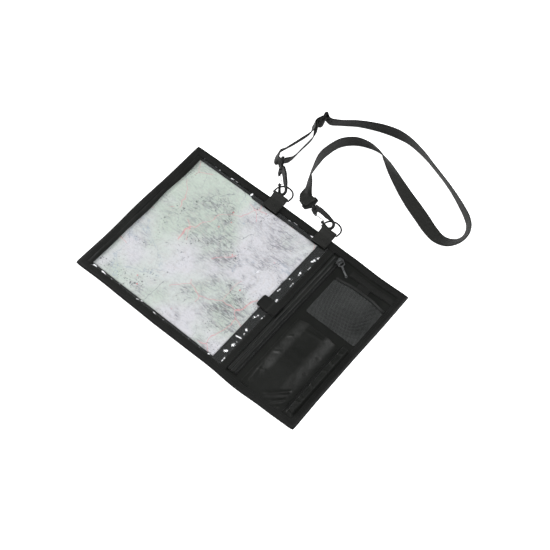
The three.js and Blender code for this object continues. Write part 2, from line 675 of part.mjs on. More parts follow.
// The swivel head: a loop with the webbing's slot, a neck and the pin that turns in the body.
function hookHead() {
  const slotHalf = headSlotLength / 2;
  const outerHalf = slotHalf + headSide;
  const neckStart = -hookShank - clearance;
  const slotNear = neckStart - headNeck;
  const slotFar = slotNear - headSlot;
  const end = slotFar - headBar;
  const shape = new THREE.Shape([
    [neckStart, -collarRadius], [neckStart, collarRadius], [slotNear + 2.6, slotHalf * 0.8],
    [slotNear + 1, outerHalf], [end + 1, outerHalf], [end, slotHalf - 1], [end, 1 - slotHalf],
    [end + 1, -outerHalf], [slotNear + 1, -outerHalf], [slotNear + 2.6, -slotHalf * 0.8],
  ].map(([x, y]) => new THREE.Vector2(x, y)));
  shape.holes.push(new THREE.Path([
    [slotNear, -slotHalf], [slotFar, -slotHalf], [slotFar, slotHalf], [slotNear, slotHalf],
  ].map(([x, y]) => new THREE.Vector2(x, y))));
  const geometry = new THREE.ExtrudeGeometry(shape, { depth: headThick, bevelEnabled: false });
  geometry.translate(0, 0, -headThick / 2);
  const pin = rod(swivelPin, new THREE.Vector3(neckStart - 1, 0, 0),
    new THREE.Vector3(-hookShank + swivelPinLength, 0, 0), 12);
  return solidOf(geometry).add(pin);
}

// The gate: a loop of spring wire that turns on its pivot and shuts against the inner side of the nub.
function hookGate() {
  const side = hookThick / 2 + clearance + gateWire / 2;
  const tipX = -nubBack;
  const tipY = -nubOut + nubRadius + clearance + gateWire / 2;
  const corners = [
    new THREE.Vector3(-gatePivotBack, -gatePivotOut, side), new THREE.Vector3(tipX, tipY, side),
    new THREE.Vector3(tipX, tipY, -side), new THREE.Vector3(-gatePivotBack, -gatePivotOut, -side),
  ];
  return wasm.Manifold.union(corners.flatMap((corner, i) => [
    rod(gateWire / 2, corner, corners[(i + 1) % corners.length], 6),
    ball(gateWire / 2, corner),
  ]));
}

hookRows.forEach((row) => {
  const body = addPiece(`hook_body_${row.side}`, hookBody(), plastic);
  body.applyMatrix4(hookFrame(row, row.rollDeg));
  const head = addPiece(`hook_head_${row.side}`, hookHead(), plastic);
  head.applyMatrix4(hookFrame(row, row.headRollDeg));
  const gate = addPiece(`hook_gate_${row.side}`, hookGate(), steel);
  gate.applyMatrix4(hookFrame(row, row.rollDeg));
});

// The neck strap. It stands on its lower edge for most of its way and leans over at the turns.
// Each row: the lower edge's place along the case as a share of its length, and out from its far edge as a
// share of the strap's reach; then its lean to the left of its way as a share of its width, and its rise in mm.
const outerRun = [
  { x: -0.186, y: 0.717, lean: -0.18, rise: 1 },
  { x: -0.15, y: 0.761, lean: -0.25, rise: 0.3 },
  { x: -0.1, y: 0.827, lean: -0.21, rise: 0 },
  { x: -0.05, y: 0.872, lean: -0.14, rise: 0 },
  { x: 0, y: 0.906, lean: -0.07, rise: 0 },
  { x: 0.05, y: 0.929, lean: -0.04, rise: 0 },
  { x: 0.1, y: 0.941, lean: -0.12, rise: 0 },
  { x: 0.15, y: 0.932, lean: -0.17, rise: 0 },
  { x: 0.2, y: 0.913, lean: -0.22, rise: 0 },
  { x: 0.25, y: 0.885, lean: -0.26, rise: 0 },
  { x: 0.3, y: 0.854, lean: -0.26, rise: 0 },
  { x: 0.351, y: 0.815, lean: -0.21, rise: 0 },
  { x: 0.401, y: 0.768, lean: -0.13, rise: 0 },
  { x: 0.452, y: 0.712, lean: -0.03, rise: 0 },
  { x: 0.481, y: 0.667, lean: 0.07, rise: 0.3 },
  { x: 0.495, y: 0.614, lean: 0.26, rise: 0.3 },
  { x: 0.494, y: 0.571, lean: 0.47, rise: 0.3 },
  { x: 0.483, y: 0.539, lean: 0.7, rise: 0.3 },
  { x: 0.464, y: 0.518, lean: 0.87, rise: 0 },
  { x: 0.44, y: 0.512, lean: 0.94, rise: 0 },
  { x: 0.4, y: 0.533, lean: 0.97, rise: 0 },
  { x: 0.35, y: 0.571, lean: 0.98, rise: 0 },
  { x: 0.3, y: 0.606, lean: 0.98, rise: 0 },
  { x: 0.25, y: 0.638, lean: 0.95, rise: 0 },
  { x: 0.2, y: 0.673, lean: 0.89, rise: 0 },
  { x: 0.15, y: 0.709, lean: 0.8, rise: 0 },
  { x: 0.1, y: 0.742, lean: 0.63, rise: 0 },
  { x: 0.0675, y: 0.755, lean: 0.45, rise: 0 },
  { x: 0.035, y: 0.756, lean: 0.36, rise: 0 },
  { x: 0, y: 0.742, lean: 0.22, rise: 0 },
  { x: -0.05, y: 0.698, lean: 0.06, rise: 0 },
  { x: -0.089, y: 0.618, lean: 0, rise: 0 },
  { x: -0.104, y: 0.496, lean: -0.07, rise: 0 },
  { x: -0.103, y: 0.429, lean: -0.1, rise: 0 },
  { x: -0.096, y: 0.32, lean: 0.1, rise: 0 },
  { x: -0.088, y: 0.27, lean: 0.16, rise: 0.4 },
  { x: -0.072, y: 0.205, lean: 0.4, rise: 1 },
];
const rightRun = [
  { x: -0.195, y: 0.3, lean: -0.33, rise: 1 },
  { x: -0.1945, y: 0.407, lean: -0.34, rise: 0.3 },
  { x: -0.195, y: 0.553, lean: -0.26, rise: 0.4 },
];
const leftRun = [
  { x: -0.217, y: 0.58, lean: 0.36, rise: 0.7 },
  { x: -0.228, y: 0.451, lean: 0.36, rise: 0.4 },
  { x: -0.247, y: 0.335, lean: 0.42, rise: 0.4 },
  { x: -0.247, y: 0.272, lean: 0.3, rise: 1.4 },
  { x: -0.233, y: 0.228, lean: 0.35, rise: 2.2 },
];

const up = new THREE.Vector3(0, 0, 1);

function standingStations(rows) {
  const feet = rows.map((row) => new THREE.Vector3(row.x * caseLength, halfDepth + row.y * strapReach, 0));
  return rows.map((row, i) => {
    const from = feet[Math.max(i - 1, 0)];
    const to = feet[Math.min(i + 1, feet.length - 1)];
    const left = new THREE.Vector3().subVectors(to, from).normalize().cross(up).negate();
    const upright = Math.sqrt(1 - row.lean ** 2);
    const across = left.multiplyScalar(row.lean).addScaledVector(up, upright);
    const foot = feet[i].clone();
    foot.z = clearance / 2 + row.rise + Math.abs(row.lean) * webThick / 2;
    return { middle: foot.addScaledVector(across, webWidth / 2), across, width: webWidth };
  });
}

// The adjuster stands on one end rail and leans over a little with the strap. Its own frame has +X across it,
// +Y from the hook's side on and +Z along its bars.
const glideLean = 0.22;
const glidePlace = new THREE.Vector3(-0.2145 * caseLength, halfDepth + 0.668 * strapReach, 0);
const glideHalf = glideMiddleBar / 2 + glideSlot + glideBar;
const glideHeight = webWidth + 2 * clearance + 2 * glideRail;
const glideWebMiddle = glideHeight / 2;
const glideFrame = new THREE.Matrix4().makeTranslation(
  glidePlace.x, glidePlace.y, clearance / 2 + glideThick / 2 * glideLean);
glideFrame.multiply(new THREE.Matrix4().makeRotationY(Math.asin(glideLean)));

function strapSlider() {
  const x = glideThick / 2;
  const slots = [-1, 1].map((side) => {
    const near = side * glideMiddleBar / 2;
    const far = side * (glideMiddleBar / 2 + glideSlot);
    return block(-2 * x, 2 * x, Math.min(near, far), Math.max(near, far), glideRail, glideHeight - glideRail);
  });
  return block(-x, x, -glideHalf, glideHalf, 0, glideHeight).subtract(wasm.Manifold.union(slots));
}
const glide = addPiece('strap_slider', strapSlider(), plastic);
glide.applyMatrix4(glideFrame);

function glideStation(acrossGlide, alongGlide) {
  return {
    middle: new THREE.Vector3(acrossGlide, alongGlide, glideWebMiddle).applyMatrix4(glideFrame),
    across: up.clone().transformDirection(glideFrame),
    width: webWidth,
  };
}

// The webbing goes under the first bar, over the middle bar with its own sewn end, and under the last bar.
const underBar = -(glideThick / 2 + clearance + webThick * 0.95);
const eyeInner = Math.hypot(glideThick / 2, glideMiddleBar / 2) + clearance;
const eyeOuter = eyeInner + webThick;
const overBar = eyeOuter + clearance + webThick * 0.6;
const barMiddle = glideMiddleBar / 2 + glideSlot + glideBar / 2;
const throughGlide = [
  glideStation(underBar, -barMiddle),
  glideStation(underBar * 0.72, -barMiddle + glideSlot * 0.37),
  glideStation(overBar * 0.2, -barMiddle + glideSlot * 0.6),
  glideStation(overBar * 0.85, -barMiddle + glideSlot * 0.9),
  glideStation(overBar, 0),
  glideStation(overBar * 0.85, barMiddle - glideSlot * 0.9),
  glideStation(overBar * 0.2, barMiddle - glideSlot * 0.6),
  glideStation(underBar * 0.72, barMiddle - glideSlot * 0.37),
  glideStation(underBar, barMiddle),
  glideStation(underBar * 0.5, barMiddle + glideBar * 1.5),
];

// Through the head of the left hook the strap turns round the upright bar of its slot.
function headPoint(row, alongHook, aside, out) {
  return new THREE.Vector3(alongHook, aside, out).applyMatrix4(hookFrame(row, row.headRollDeg));
}
function headDirection(row, x, y, z) {
  return new THREE.Vector3(x, y, z).transformDirection(hookFrame(row, row.headRollDeg));
}
const leftHook = hookRows[0];
const rightHook = hookRows[1];
const wrapRadius = headThick / 2 + clearance + webThick / 2;
const slotWidth = headSlotLength - 2 * clearance;
const barBack = -headBarBack;
const slotMiddle = barBack + headBar / 2 + headSlot / 2;
const slotTurn = wrapRadius * 0.55;
const throughHead = [
  { middle: headPoint(leftHook, barBack + headBar * 0.25, 0, wrapRadius * 1.45), width: slotWidth },
  { middle: headPoint(leftHook, slotMiddle + 0.1, 0, slotTurn), width: slotWidth },
  { middle: headPoint(leftHook, slotMiddle + 0.1, 0, -slotTurn), width: slotWidth },
  { middle: headPoint(leftHook, barBack + headBar * 0.25, 0, -wrapRadius * 1.45), width: slotWidth },
].map((station) => ({ ...station, across: headDirection(leftHook, 0, 1, 0) }));

// At the right hook it comes over the bar, turns down through the slot and is sewn to itself underneath.
const foldLength = 20;
const rightAcross = headDirection(rightHook, 0, 1, 0);
const rightStation = (alongHook, out) => (
  { middle: headPoint(rightHook, alongHook, 0, out), across: rightAcross, width: slotWidth });
const overHeadBar = wrapRadius * 1.09;
const ontoHead = [
  rightStation(barBack - 7, wrapRadius * 0.9),
  rightStation(barBack, overHeadBar),
];
const underHead = [
  rightStation(barBack, overHeadBar),
  rightStation(slotMiddle - headSlot * 0.32, wrapRadius * 1.05),
  rightStation(slotMiddle + 0.1, slotTurn),
  rightStation(slotMiddle + 0.15, 0),
  rightStation(slotMiddle + 0.1, -slotTurn),
  rightStation(slotMiddle - headSlot * 0.32, -wrapRadius * 1.05),
  rightStation(barBack, -overHeadBar),
  rightStation(barBack - foldLength * 0.25, -wrapRadius * 0.75),
  rightStation(barBack - foldLength * 0.55, -wrapRadius * 0.05),
];

// The sewn eye round the middle bar of the adjuster.
function sewnEye() {
  const ring = new THREE.Shape();
  ring.absarc(0, 0, eyeOuter, 0, Math.PI * 2, false);
  const hole = new THREE.Path();
  hole.absarc(0, 0, eyeInner, 0, Math.PI * 2, true);
  ring.holes.push(hole);
  const geometry = new THREE.ExtrudeGeometry(ring, { depth: webWidth, bevelEnabled: false, curveSegments: 8 });
  geometry.translate(0, 0, glideWebMiddle - webWidth / 2);
  geometry.applyMatrix4(glideFrame);
  return solidOf(geometry);
}
const eyeMiddle = (eyeInner + eyeOuter) / 2;
const fromEye = [
  glideStation(-eyeMiddle, 0),
  glideStation(-eyeMiddle - webThick * 0.9, -eyeOuter * 1.2),
  glideStation(underBar - webThick - 2 * clearance, -barMiddle + 1),
  glideStation(underBar - webThick - 2 * clearance, -barMiddle - glideBar),
];

const longWeb = ribbon([
  ...fromEye, ...standingStations(leftRun), ...throughHead, ...standingStations(rightRun),
  ...throughGlide, ...standingStations(outerRun), ...ontoHead,
], webThick, 3);
const strap = longWeb.add(sewnEye()).add(ribbon(underHead, webThick, 3));
addPiece('strap', strap, webbing);

export default part;
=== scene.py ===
import json
from math import atan2, cos, exp, hypot, pi, radians, sin, sqrt

import bmesh
import bpy
from mathutils import Matrix, Vector, noise

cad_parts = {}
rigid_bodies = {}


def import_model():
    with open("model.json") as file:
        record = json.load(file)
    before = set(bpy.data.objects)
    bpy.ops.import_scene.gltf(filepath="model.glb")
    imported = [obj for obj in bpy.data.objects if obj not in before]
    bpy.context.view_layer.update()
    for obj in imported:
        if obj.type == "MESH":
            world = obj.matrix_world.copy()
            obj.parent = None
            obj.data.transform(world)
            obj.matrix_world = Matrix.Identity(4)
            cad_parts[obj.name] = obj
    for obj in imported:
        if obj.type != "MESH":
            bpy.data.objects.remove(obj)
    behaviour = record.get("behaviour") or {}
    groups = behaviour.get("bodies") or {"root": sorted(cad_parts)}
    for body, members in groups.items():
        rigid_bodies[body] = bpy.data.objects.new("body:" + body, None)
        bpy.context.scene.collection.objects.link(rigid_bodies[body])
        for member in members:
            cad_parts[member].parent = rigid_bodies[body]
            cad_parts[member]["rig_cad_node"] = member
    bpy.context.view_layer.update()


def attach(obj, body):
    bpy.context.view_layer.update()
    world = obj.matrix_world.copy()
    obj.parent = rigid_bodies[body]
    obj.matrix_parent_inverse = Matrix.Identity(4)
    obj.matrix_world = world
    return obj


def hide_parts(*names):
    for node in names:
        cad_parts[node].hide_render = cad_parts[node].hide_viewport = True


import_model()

# The studio: a table top that the camera sees as plain white, a large soft light behind the left end of the case,
# a smaller one behind its right end, two weak ones near and above, and a dim pale room.
mm = 0.001
scene = bpy.context.scene
scene.view_settings.view_transform = "Standard"


def add_node(tree, kind, inputs=None, **settings):
    made = tree.nodes.new(kind)
    for name, value in settings.items():
        setattr(made, name, value)
    for name, value in (inputs or {}).items():
        if isinstance(value, bpy.types.NodeSocket):
            tree.links.new(value, made.inputs[name])
        else:
            made.inputs[name].default_value = value
    return made


def mix_colours(tree, factor, first, second):
    mixer = add_node(tree, "ShaderNodeMix", data_type="RGBA")
    given = [socket for socket in mixer.inputs if socket.enabled]
    for socket, value in zip(given, (factor, first, second)):
        if isinstance(value, bpy.types.NodeSocket):
            tree.links.new(value, socket)
        else:
            socket.default_value = value
    return next(socket for socket in mixer.outputs if socket.enabled)


def new_material(name):
    made = bpy.data.materials.new(name)
    made.use_nodes = True
    made.node_tree.nodes.clear()
    return made, made.node_tree


def close_material(tree, inputs):
    shader = add_node(tree, "ShaderNodeBsdfPrincipled", inputs)
    output = tree.nodes.new("ShaderNodeOutputMaterial")
    tree.links.new(shader.outputs[0], output.inputs["Surface"])


def object_place(tree):
    return add_node(tree, "ShaderNodeTexCoord").outputs["Object"]


def mapped(tree, place, scale=(1, 1, 1), heading=0.0, shift=(0, 0, 0)):
    return add_node(tree, "ShaderNodeMapping", {"Vector": place, "Scale": scale, "Location": shift,
                                                "Rotation": (0, 0, radians(heading))}).outputs[0]


def calc(tree, operation, *values):
    return add_node(tree, "ShaderNodeMath", dict(enumerate(values)), operation=operation).outputs[0]


def patches(tree, place, scale, detail, roughness=0.5, distortion=0.0):
    """A noise from 0 to 1 with about scale patches per metre."""
    return add_node(tree, "ShaderNodeTexNoise", {"Vector": place, "Scale": scale, "Detail": detail,
                                                 "Roughness": roughness, "Distortion": distortion}).outputs["Fac"]


def range_mask(tree, value, low, high, most, least=0.0):
    return add_node(tree, "ShaderNodeMapRange", {"Value": value, "From Min": low, "From Max": high,
                                                 "To Min": least, "To Max": most}).outputs["Result"]


def relief(tree, height, strength, distance):
    return add_node(tree, "ShaderNodeBump", {"Height": height, "Strength": strength,
                                             "Distance": distance}).outputs["Normal"]


def soft_light(name, place, target, size, power):
    data = bpy.data.lights.new(name, "AREA")
    data.shape = "RECTANGLE"
    data.size, data.size_y = size
    data.energy = power
    light = bpy.data.objects.new(name, data)
    light.location = place
    light.rotation_euler = (Vector(target) - Vector(place)).to_track_quat("-Z", "Y").to_euler()
    scene.collection.objects.link(light)


camera_data = bpy.data.cameras.new("studio_camera")
camera_data.sensor_width = 36.0
camera_data.lens = 77.6
camera = bpy.data.objects.new("studio_camera", camera_data)
view_right = Vector((0.76809, 0.63998, 0.02151))
view_up = Vector((-0.56980, 0.66777, 0.47897))
view_place = Vector((0.52738, -0.60863, 1.49279))
camera.matrix_world = Matrix.Translation(view_place) @ Matrix(
    (view_right, view_up, view_right.cross(view_up))).transposed().to_4x4()
scene.collection.objects.link(camera)
scene.camera = camera

soft_light("left_window", (-1.75, -0.1, 0.95), (0, 0.05, 0), (0.7, 1.3), 36)
soft_light("right_window", (1.35, 1.1, 1.0), (0.1, 0.05, 0), (0.9, 0.9), 26)
soft_light("near_fill", (0.2, -1.7, 1.5), (0, 0, 0), (1.6, 0.8), 12)
soft_light("top_fill", (0.5, -0.1, 2.3), (0, 0, 0), (1.0, 1.0), 14)

room = bpy.data.worlds.new("pale_room")
room.use_nodes = True
room.node_tree.nodes["Background"].inputs["Color"].default_value = (0.86, 0.88, 0.9, 1)
room.node_tree.nodes["Background"].inputs["Strength"].default_value = 0.33
scene.world = room

table_paint, tree = new_material("table_top")
mottle = add_node(tree, "ShaderNodeTexNoise", {"Scale": 3.0, "Detail": 2.0})
shade = mix_colours(tree, mottle.outputs["Fac"], (0.9, 0.9, 0.9, 1), (0.92, 0.92, 0.915, 1))
seen = add_node(tree, "ShaderNodeLightPath").outputs["Is Camera Ray"]
bleach = mix_colours(tree, seen, (0, 0, 0, 1), (1, 1, 1, 1))
close_material(tree, {
    "Base Color": shade, "Roughness": 0.75, "Specular IOR Level": 0.2, "Emission Color": bleach,
    "Emission Strength": 1.0})
bm = bmesh.new()
bmesh.ops.create_grid(bm, x_segments=4, y_segments=4, size=4)
table_top = bpy.data.objects.new("table_top", bpy.data.meshes.new("table_top"))
bm.to_mesh(table_top.data)
bm.free()
table_top.data.materials.append(table_paint)
scene.collection.objects.link(table_top)

# The back sheet: one piece of coated black nylon under the whole case, turned up at its rim into the binding.
# It is a plain weave with a soft dark coating, so it shows a fine grain, faint slubs and a low sheen.
half_length, half_depth = 200 * mm, 133 * mm
binding_width = 12 * mm


def weave_group():
    """A plain weave: threads per metre in, thread height and slow colour drift out."""
    group = bpy.data.node_groups.new("plain_weave", "ShaderNodeTree")
    group.interface.new_socket("Vector", in_out="INPUT", socket_type="NodeSocketVector")
    group.interface.new_socket("Threads", in_out="INPUT", socket_type="NodeSocketFloat")
    group.interface.new_socket("Height", in_out="OUTPUT", socket_type="NodeSocketFloat")
    group.interface.new_socket("Drift", in_out="OUTPUT", socket_type="NodeSocketFloat")
    given = group.nodes.new("NodeGroupInput")
    parts = add_node(group, "ShaderNodeSeparateXYZ", {0: given.outputs["Vector"]})
    waves = []
    for axis in ("X", "Y"):
        turn = calc(group, "MULTIPLY", parts.outputs[axis], given.outputs["Threads"])
        waves.append(calc(group, "SINE", calc(group, "MULTIPLY", turn, pi)))
    slubs = patches(group, given.outputs["Vector"], 900.0, 3.0, 0.7)
    result = group.nodes.new("NodeGroupOutput")
    group.links.new(calc(group, "MULTIPLY_ADD", calc(group, "MULTIPLY", *waves), 0.35, slubs),
                    result.inputs["Height"])
    group.links.new(patches(group, given.outputs["Vector"], 26.0, 5.0, 0.6), result.inputs["Drift"])
    return group


plain_weave = weave_group()


def cloth_material(name, dark, light, threads, roughness, bump=0.35, grain=0.12 * mm, sheen=0.12, on_uv=False):
    """Black or grey cloth: the two colours that it drifts between, its thread count per metre and its gloss."""
    made, tree = new_material(name)
    place = add_node(tree, "ShaderNodeTexCoord").outputs["UV" if on_uv else "Object"]
    weave = add_node(tree, "ShaderNodeGroup", {}, node_tree=plain_weave)
    tree.links.new(place, weave.inputs["Vector"])
    weave.inputs["Threads"].default_value = threads
    colour = mix_colours(tree, weave.outputs["Drift"], (*dark, 1), (*light, 1))
    gloss = range_mask(tree, weave.outputs["Drift"], 0.3, 0.7, roughness + 0.07, roughness - 0.07)
    close_material(tree, {
        "Base Color": colour, "Roughness": gloss, "Sheen Weight": sheen,
        "Sheen Roughness": 0.4, "Specular IOR Level": 0.2,
        "Normal": relief(tree, weave.outputs["Height"], bump, grain)})
    return made


def case_material(node, material):
    """Gives a solid of the frame its finish."""
    shown = next(o for o in scene.objects if o.get("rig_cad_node") == node)
    shown.data.materials.clear()
    shown.data.materials.append(material)


nylon = cloth_material("black_nylon", (0.0030, 0.0036, 0.0028), (0.0062, 0.0070, 0.0056), 2400, 0.42, sheen=0.012)
case_material("back_panel", nylon)

# The edge binding: ribbed black tape folded over the raw edges of all layers, mitred at the corners and sewn
# down with two rows of black thread. It lies a little wavy, as sewn tape does.
side_bows = {
    "near": (0, -0.004, -0.002, 0, -0.002, -0.004, 0.003, -0.005, -0.011),
    "right": (0.003, -0.001, -0.002, 0, -0.002),
    "far": (-0.002, -0.006, 0, 0.002, 0.004, 0.004, 0.002, 0.002, 0),
    "left": (0, -0.002, 0.002, -0.004, 0),
}
corner_lift = 3.4 * mm


def ease(value):
    t = min(max(value, 0.0), 1.0)
    return t * t * (3 - 2 * t)


def side_bow(side, s):
    shares = side_bows[side]
    place = (s + 1) / 2 * (len(shares) - 1)
    i = min(int(place), len(shares) - 2)
    return (shares[i] + (shares[i + 1] - shares[i]) * ease(place - i)) * 2 * half_depth


def outline_point(turn, inset):
    """A point on the case's outline, moved inwards by inset. turn runs from 0 to 4, one for each side."""
    side = ("near", "right", "far", "left")[int(turn) % 4]
    s = 2 * (turn % 1) - 1
    x, y = half_length - inset, half_depth - inset
    out = side_bow(side, s)
    if side == "near":
        return Vector((s * x, -y - out, 0))
    if side == "right":
        return Vector((x + out, s * y + corner_lift * ease((-0.5 - s) / 0.5), 0))
    if side == "far":
        return Vector((-s * x, y + out, 0))
    return Vector((-x - out, -s * y, 0))


def bend_grid(columns, rows, place, capped=False):
    """A grid bent into shape: place(u, v) gives each corner's point and its place on the flat cloth."""
    bm = bmesh.new()
    bmesh.ops.create_grid(bm, x_segments=columns, y_segments=rows, size=0.5)
    flat = bm.loops.layers.uv.new("cloth")
    spots = {vert: place(vert.co.x + 0.5, vert.co.y + 0.5) for vert in bm.verts}
    for face in bm.faces:
        for loop in face.loops:
            loop[flat].uv = spots[loop.vert][1]
    for vert, (point, _) in spots.items():
        vert.co = point
    bmesh.ops.remove_doubles(bm, verts=bm.verts, dist=0.0005 * mm)
    if capped:
        bmesh.ops.holes_fill(bm, edges=[edge for edge in bm.edges if edge.is_boundary], sides=0)
    bmesh.ops.recalc_face_normals(bm, faces=bm.faces)
    return bm


def make_piece(name, bm, material, stands_for=(), body="case", thick=0, face_up=False):
    """Turns a bmesh into a piece: smooth, finished, riding on its body, and thickened if it is a sheet."""
    if face_up and sum(face.normal.z * face.calc_area() for face in bm.faces) < 0:
        bmesh.ops.reverse_faces(bm, faces=bm.faces)
    mesh = bpy.data.meshes.new(name)
    bm.to_mesh(mesh)
    bm.free()
    mesh.shade_smooth()
    mesh.set_sharp_from_angle(angle=radians(48))
    mesh.materials.append(material)
    piece = bpy.data.objects.new(name, mesh)
    scene.collection.objects.link(piece)
    if thick:
        wall = piece.modifiers.new("wall", "SOLIDIFY")
        wall.thickness = thick
        wall.offset = 0
    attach(piece, body)
    if stands_for:
        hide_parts(*stands_for)
    return piece


def add_stitch(bm, middle, along, up, length, width):
    """One lock stitch: a short thread that dips into the cloth at both ends."""
    side = up.cross(along).normalized() * width / 2
    rise = up * width * 0.6
    rings = []
    for share, swell in ((-0.5, 0.35), (-0.22, 1), (0.22, 1), (0.5, 0.35)):
        centre = middle + along * share * length - rise * (1 - swell)
        rings.append([bm.verts.new(centre + side * swell * a + rise * swell * b)
                      for a, b in ((-1, -0.4), (-0.55, 0.8), (0.55, 0.8), (1, -0.4))])
    for ring, following in zip(rings, rings[1:]):
        for i in range(4):
            bm.faces.new((ring[i], ring[(i + 1) % 4], following[(i + 1) % 4], following[i]))
    bm.faces.new(rings[0][::-1])
    bm.faces.new(rings[-1])


def stitch_row(bm, points, pitch=3.1 * mm, length=2.3 * mm, width=0.55 * mm, up=Vector((0, 0, 1))):
    """Stitches at an even pitch along a line of points, turned with the line."""
    left_over = pitch / 2
    for start, end in zip(points, points[1:]):
        run = end - start
        if run.length == 0:
            continue
        along = run.normalized()
        while left_over <= run.length:
            add_stitch(bm, start + along * left_over, along, up, length, width)
            left_over += pitch
        left_over -= run.length


grosgrain = cloth_material("ribbed_tape", (0.0026, 0.0029, 0.0024), (0.0050, 0.0055, 0.0046), 1100, 0.5,
                           bump=0.5, grain=0.2 * mm, sheen=0.015)
thread = cloth_material("black_thread", (0.008, 0.0088, 0.0078), (0.015, 0.016, 0.0145), 5000, 0.5, bump=0.2,
                        sheen=0.02)

binding_section = [
    (12, 3.85), (12, 4.6), (10.6, 4.85), (9.0, 4.72), (7.2, 4.86), (4.5, 5.0), (2, 4.75), (0.7, 4.1), (0.1, 3.0),
    (0.05, 1.9), (0.6, 0.8), (1.8, 0.2), (4, 0.05), (9, 0.02), (11.6, 0.05), (12, 0.3), (12, 0.9), (4.1, 0.95),
    (3.75, 2.4), (4.1, 3.8),
]


def binding_ripple(point):
    puckers = noise.noise(point * 95) + 0.6 * noise.noise(point * 240 + Vector((5, 1, 3)))
    return puckers * 0.28 * mm


def binding_point(turn, inset, height):
    corner = min(turn % 1, 1 - turn % 1)
    square = ease(1 - corner * 60) * max(0.0, 1 - inset / binding_width)
    point = outline_point(turn % 4, inset + square * 0.6 * mm)
    point.z = height + binding_ripple(point) * ease(height / (4 * mm))
    return point


def binding_spot(u, v):
    reach = v * len(binding_section)
    i = int(reach + 1e-6) % len(binding_section)
    inset, height = binding_section[i]
    return binding_point(4 * u, inset * mm, height * mm), (u * 1.33, v * 34 * mm)


binding = bend_grid(400, len(binding_section), binding_spot)
make_piece("binding_tape", binding, grosgrain, ["edge_binding"])

bm = bmesh.new()
for inset, height in ((10.4, 4.9), (7.1, 4.9)):
    for side in range(4):
        inner = inset * mm / (2 * half_depth)
        turns = [side + inner + (1 - 2 * inner) * i / 90 for i in range(91)]
        stitch_row(bm, [binding_point(turn, inset * mm, height * mm) for turn in turns])
make_piece("binding_stitches", bm, thread)

# The map: one sheet of printed paper, folded once, under the window. The print is a plain made-up relief
# map: hatched hills, pale woods, thin contour lines, a few red roads, blue streams and small dark houses.
map_left, map_right, map_half = -184 * mm, 47 * mm, 116 * mm
map_step = -80 * mm


def spots_mask(tree, place, scale, size, seed_shift):
    """Small scattered marks: the middle of some cells of a random net."""
    shifted = mapped(tree, place, shift=(seed_shift, 0.37 * seed_shift, 0))
    cells = add_node(tree, "ShaderNodeTexVoronoi", {"Vector": shifted, "Scale": scale})
    chance = add_node(tree, "ShaderNodeSeparateColor", {0: cells.outputs["Color"]})
    return calc(tree, "LESS_THAN", cells.outputs["Distance"], size), chance.outputs["Red"]


def line_mask(tree, value, repeats, width):
    """Thin lines where a value times repeats passes a whole number."""
    return range_mask(tree, calc(tree, "PINGPONG", product(tree, value, repeats), 1.0), width, 0.0, 1.0)


def product(tree, first, second):
    return calc(tree, "MULTIPLY", first, second)


def lay_over(tree, under, colour, mask):
    return mix_colours(tree, mask, under, (*colour, 1))


def stroke_mask(tree, place, heading, scale, stretch, low, high, most):
    """Short pen strokes that all lie one way."""
    turned = mapped(tree, place, (scale, scale * stretch, scale), heading)
    return range_mask(tree, patches(tree, turned, 1.0, 4.0, 0.7, 0.5), low, high, most)


map_paper, tree = new_material("printed_map")
place = object_place(tree)
hills = patches(tree, place, 15.0, 6.0, 0.62, 0.8)
regions = patches(tree, place, 8.5, 3.0)
across = add_node(tree, "ShaderNodeSeparateXYZ", {0: place}).outputs["X"]
westward = range_mask(tree, across, 0.0, -0.15, 1.0)
woods = range_mask(tree, calc(tree, "MULTIPLY_ADD", westward, 0.16, regions), 0.50, 0.66, 1.0)
print_colour = lay_over(tree, (0.51, 0.51, 0.53, 1), (0.43, 0.49, 0.43), woods)
steep = range_mask(tree, hills, 0.44, 0.62, 1.0)
eastward = range_mask(tree, across, -0.17, 0.0, 1.0)
relief_place = product(tree, steep, calc(tree, "MULTIPLY_ADD", eastward, 0.75, 0.25))
for heading, scale, stretch, ink in ((12, 95, 4.5, (0.10, 0.10, 0.12)), (58, 70, 5.0, (0.13, 0.13, 0.145)),
                                     (-35, 120, 4.0, (0.11, 0.11, 0.125))):
    strokes = stroke_mask(tree, place, heading, scale, stretch, 0.49, 0.62, 0.9)
    print_colour = lay_over(tree, print_colour, ink, product(tree, strokes, relief_place))
fine_strokes = stroke_mask(tree, place, 30, 260, 2.5, 0.5, 0.66, 0.6)
print_colour = lay_over(tree, print_colour, (0.3, 0.3, 0.33), fine_strokes)
print_colour = lay_over(tree, print_colour, (0.42, 0.38, 0.36), product(tree, line_mask(tree, hills, 34, 0.22), 0.5))
streams = patches(tree, place, 9.0, 7.0, 0.55, 1.0)
print_colour = lay_over(tree, print_colour, (0.25, 0.3, 0.36), product(tree, line_mask(tree, streams, 5, 0.03), 0.7))
for scale, wander, width, colour, shift in ((13.0, 26.0, 0.008, (0.55, 0.27, 0.28), 0.0),
                                            (21.0, 40.0, 0.006, (0.2, 0.2, 0.22), 3.1)):
    bends = add_node(tree, "ShaderNodeTexNoise", {"Vector": place, "Scale": wander, "Detail": 4.0})
    moved = add_node(tree, "ShaderNodeVectorMath", {0: bends.outputs["Color"], 1: (0.03, 0.03, 0.0),
                                                    2: place}, operation="MULTIPLY_ADD")
    spread = mapped(tree, moved.outputs[0], shift=(shift, shift, 0))
    net = add_node(tree, "ShaderNodeTexVoronoi", {"Vector": spread, "Scale": scale}, feature="DISTANCE_TO_EDGE")
    course = range_mask(tree, net.outputs["Distance"], width, width * 0.4, 0.8)
    some = calc(tree, "GREATER_THAN", patches(tree, place, scale * 0.8, 2.0), 0.5)
    print_colour = lay_over(tree, print_colour, colour, product(tree, course, some))
built = range_mask(tree, patches(tree, place, 24.0, 3.0), 0.5, 0.6, 0.85)
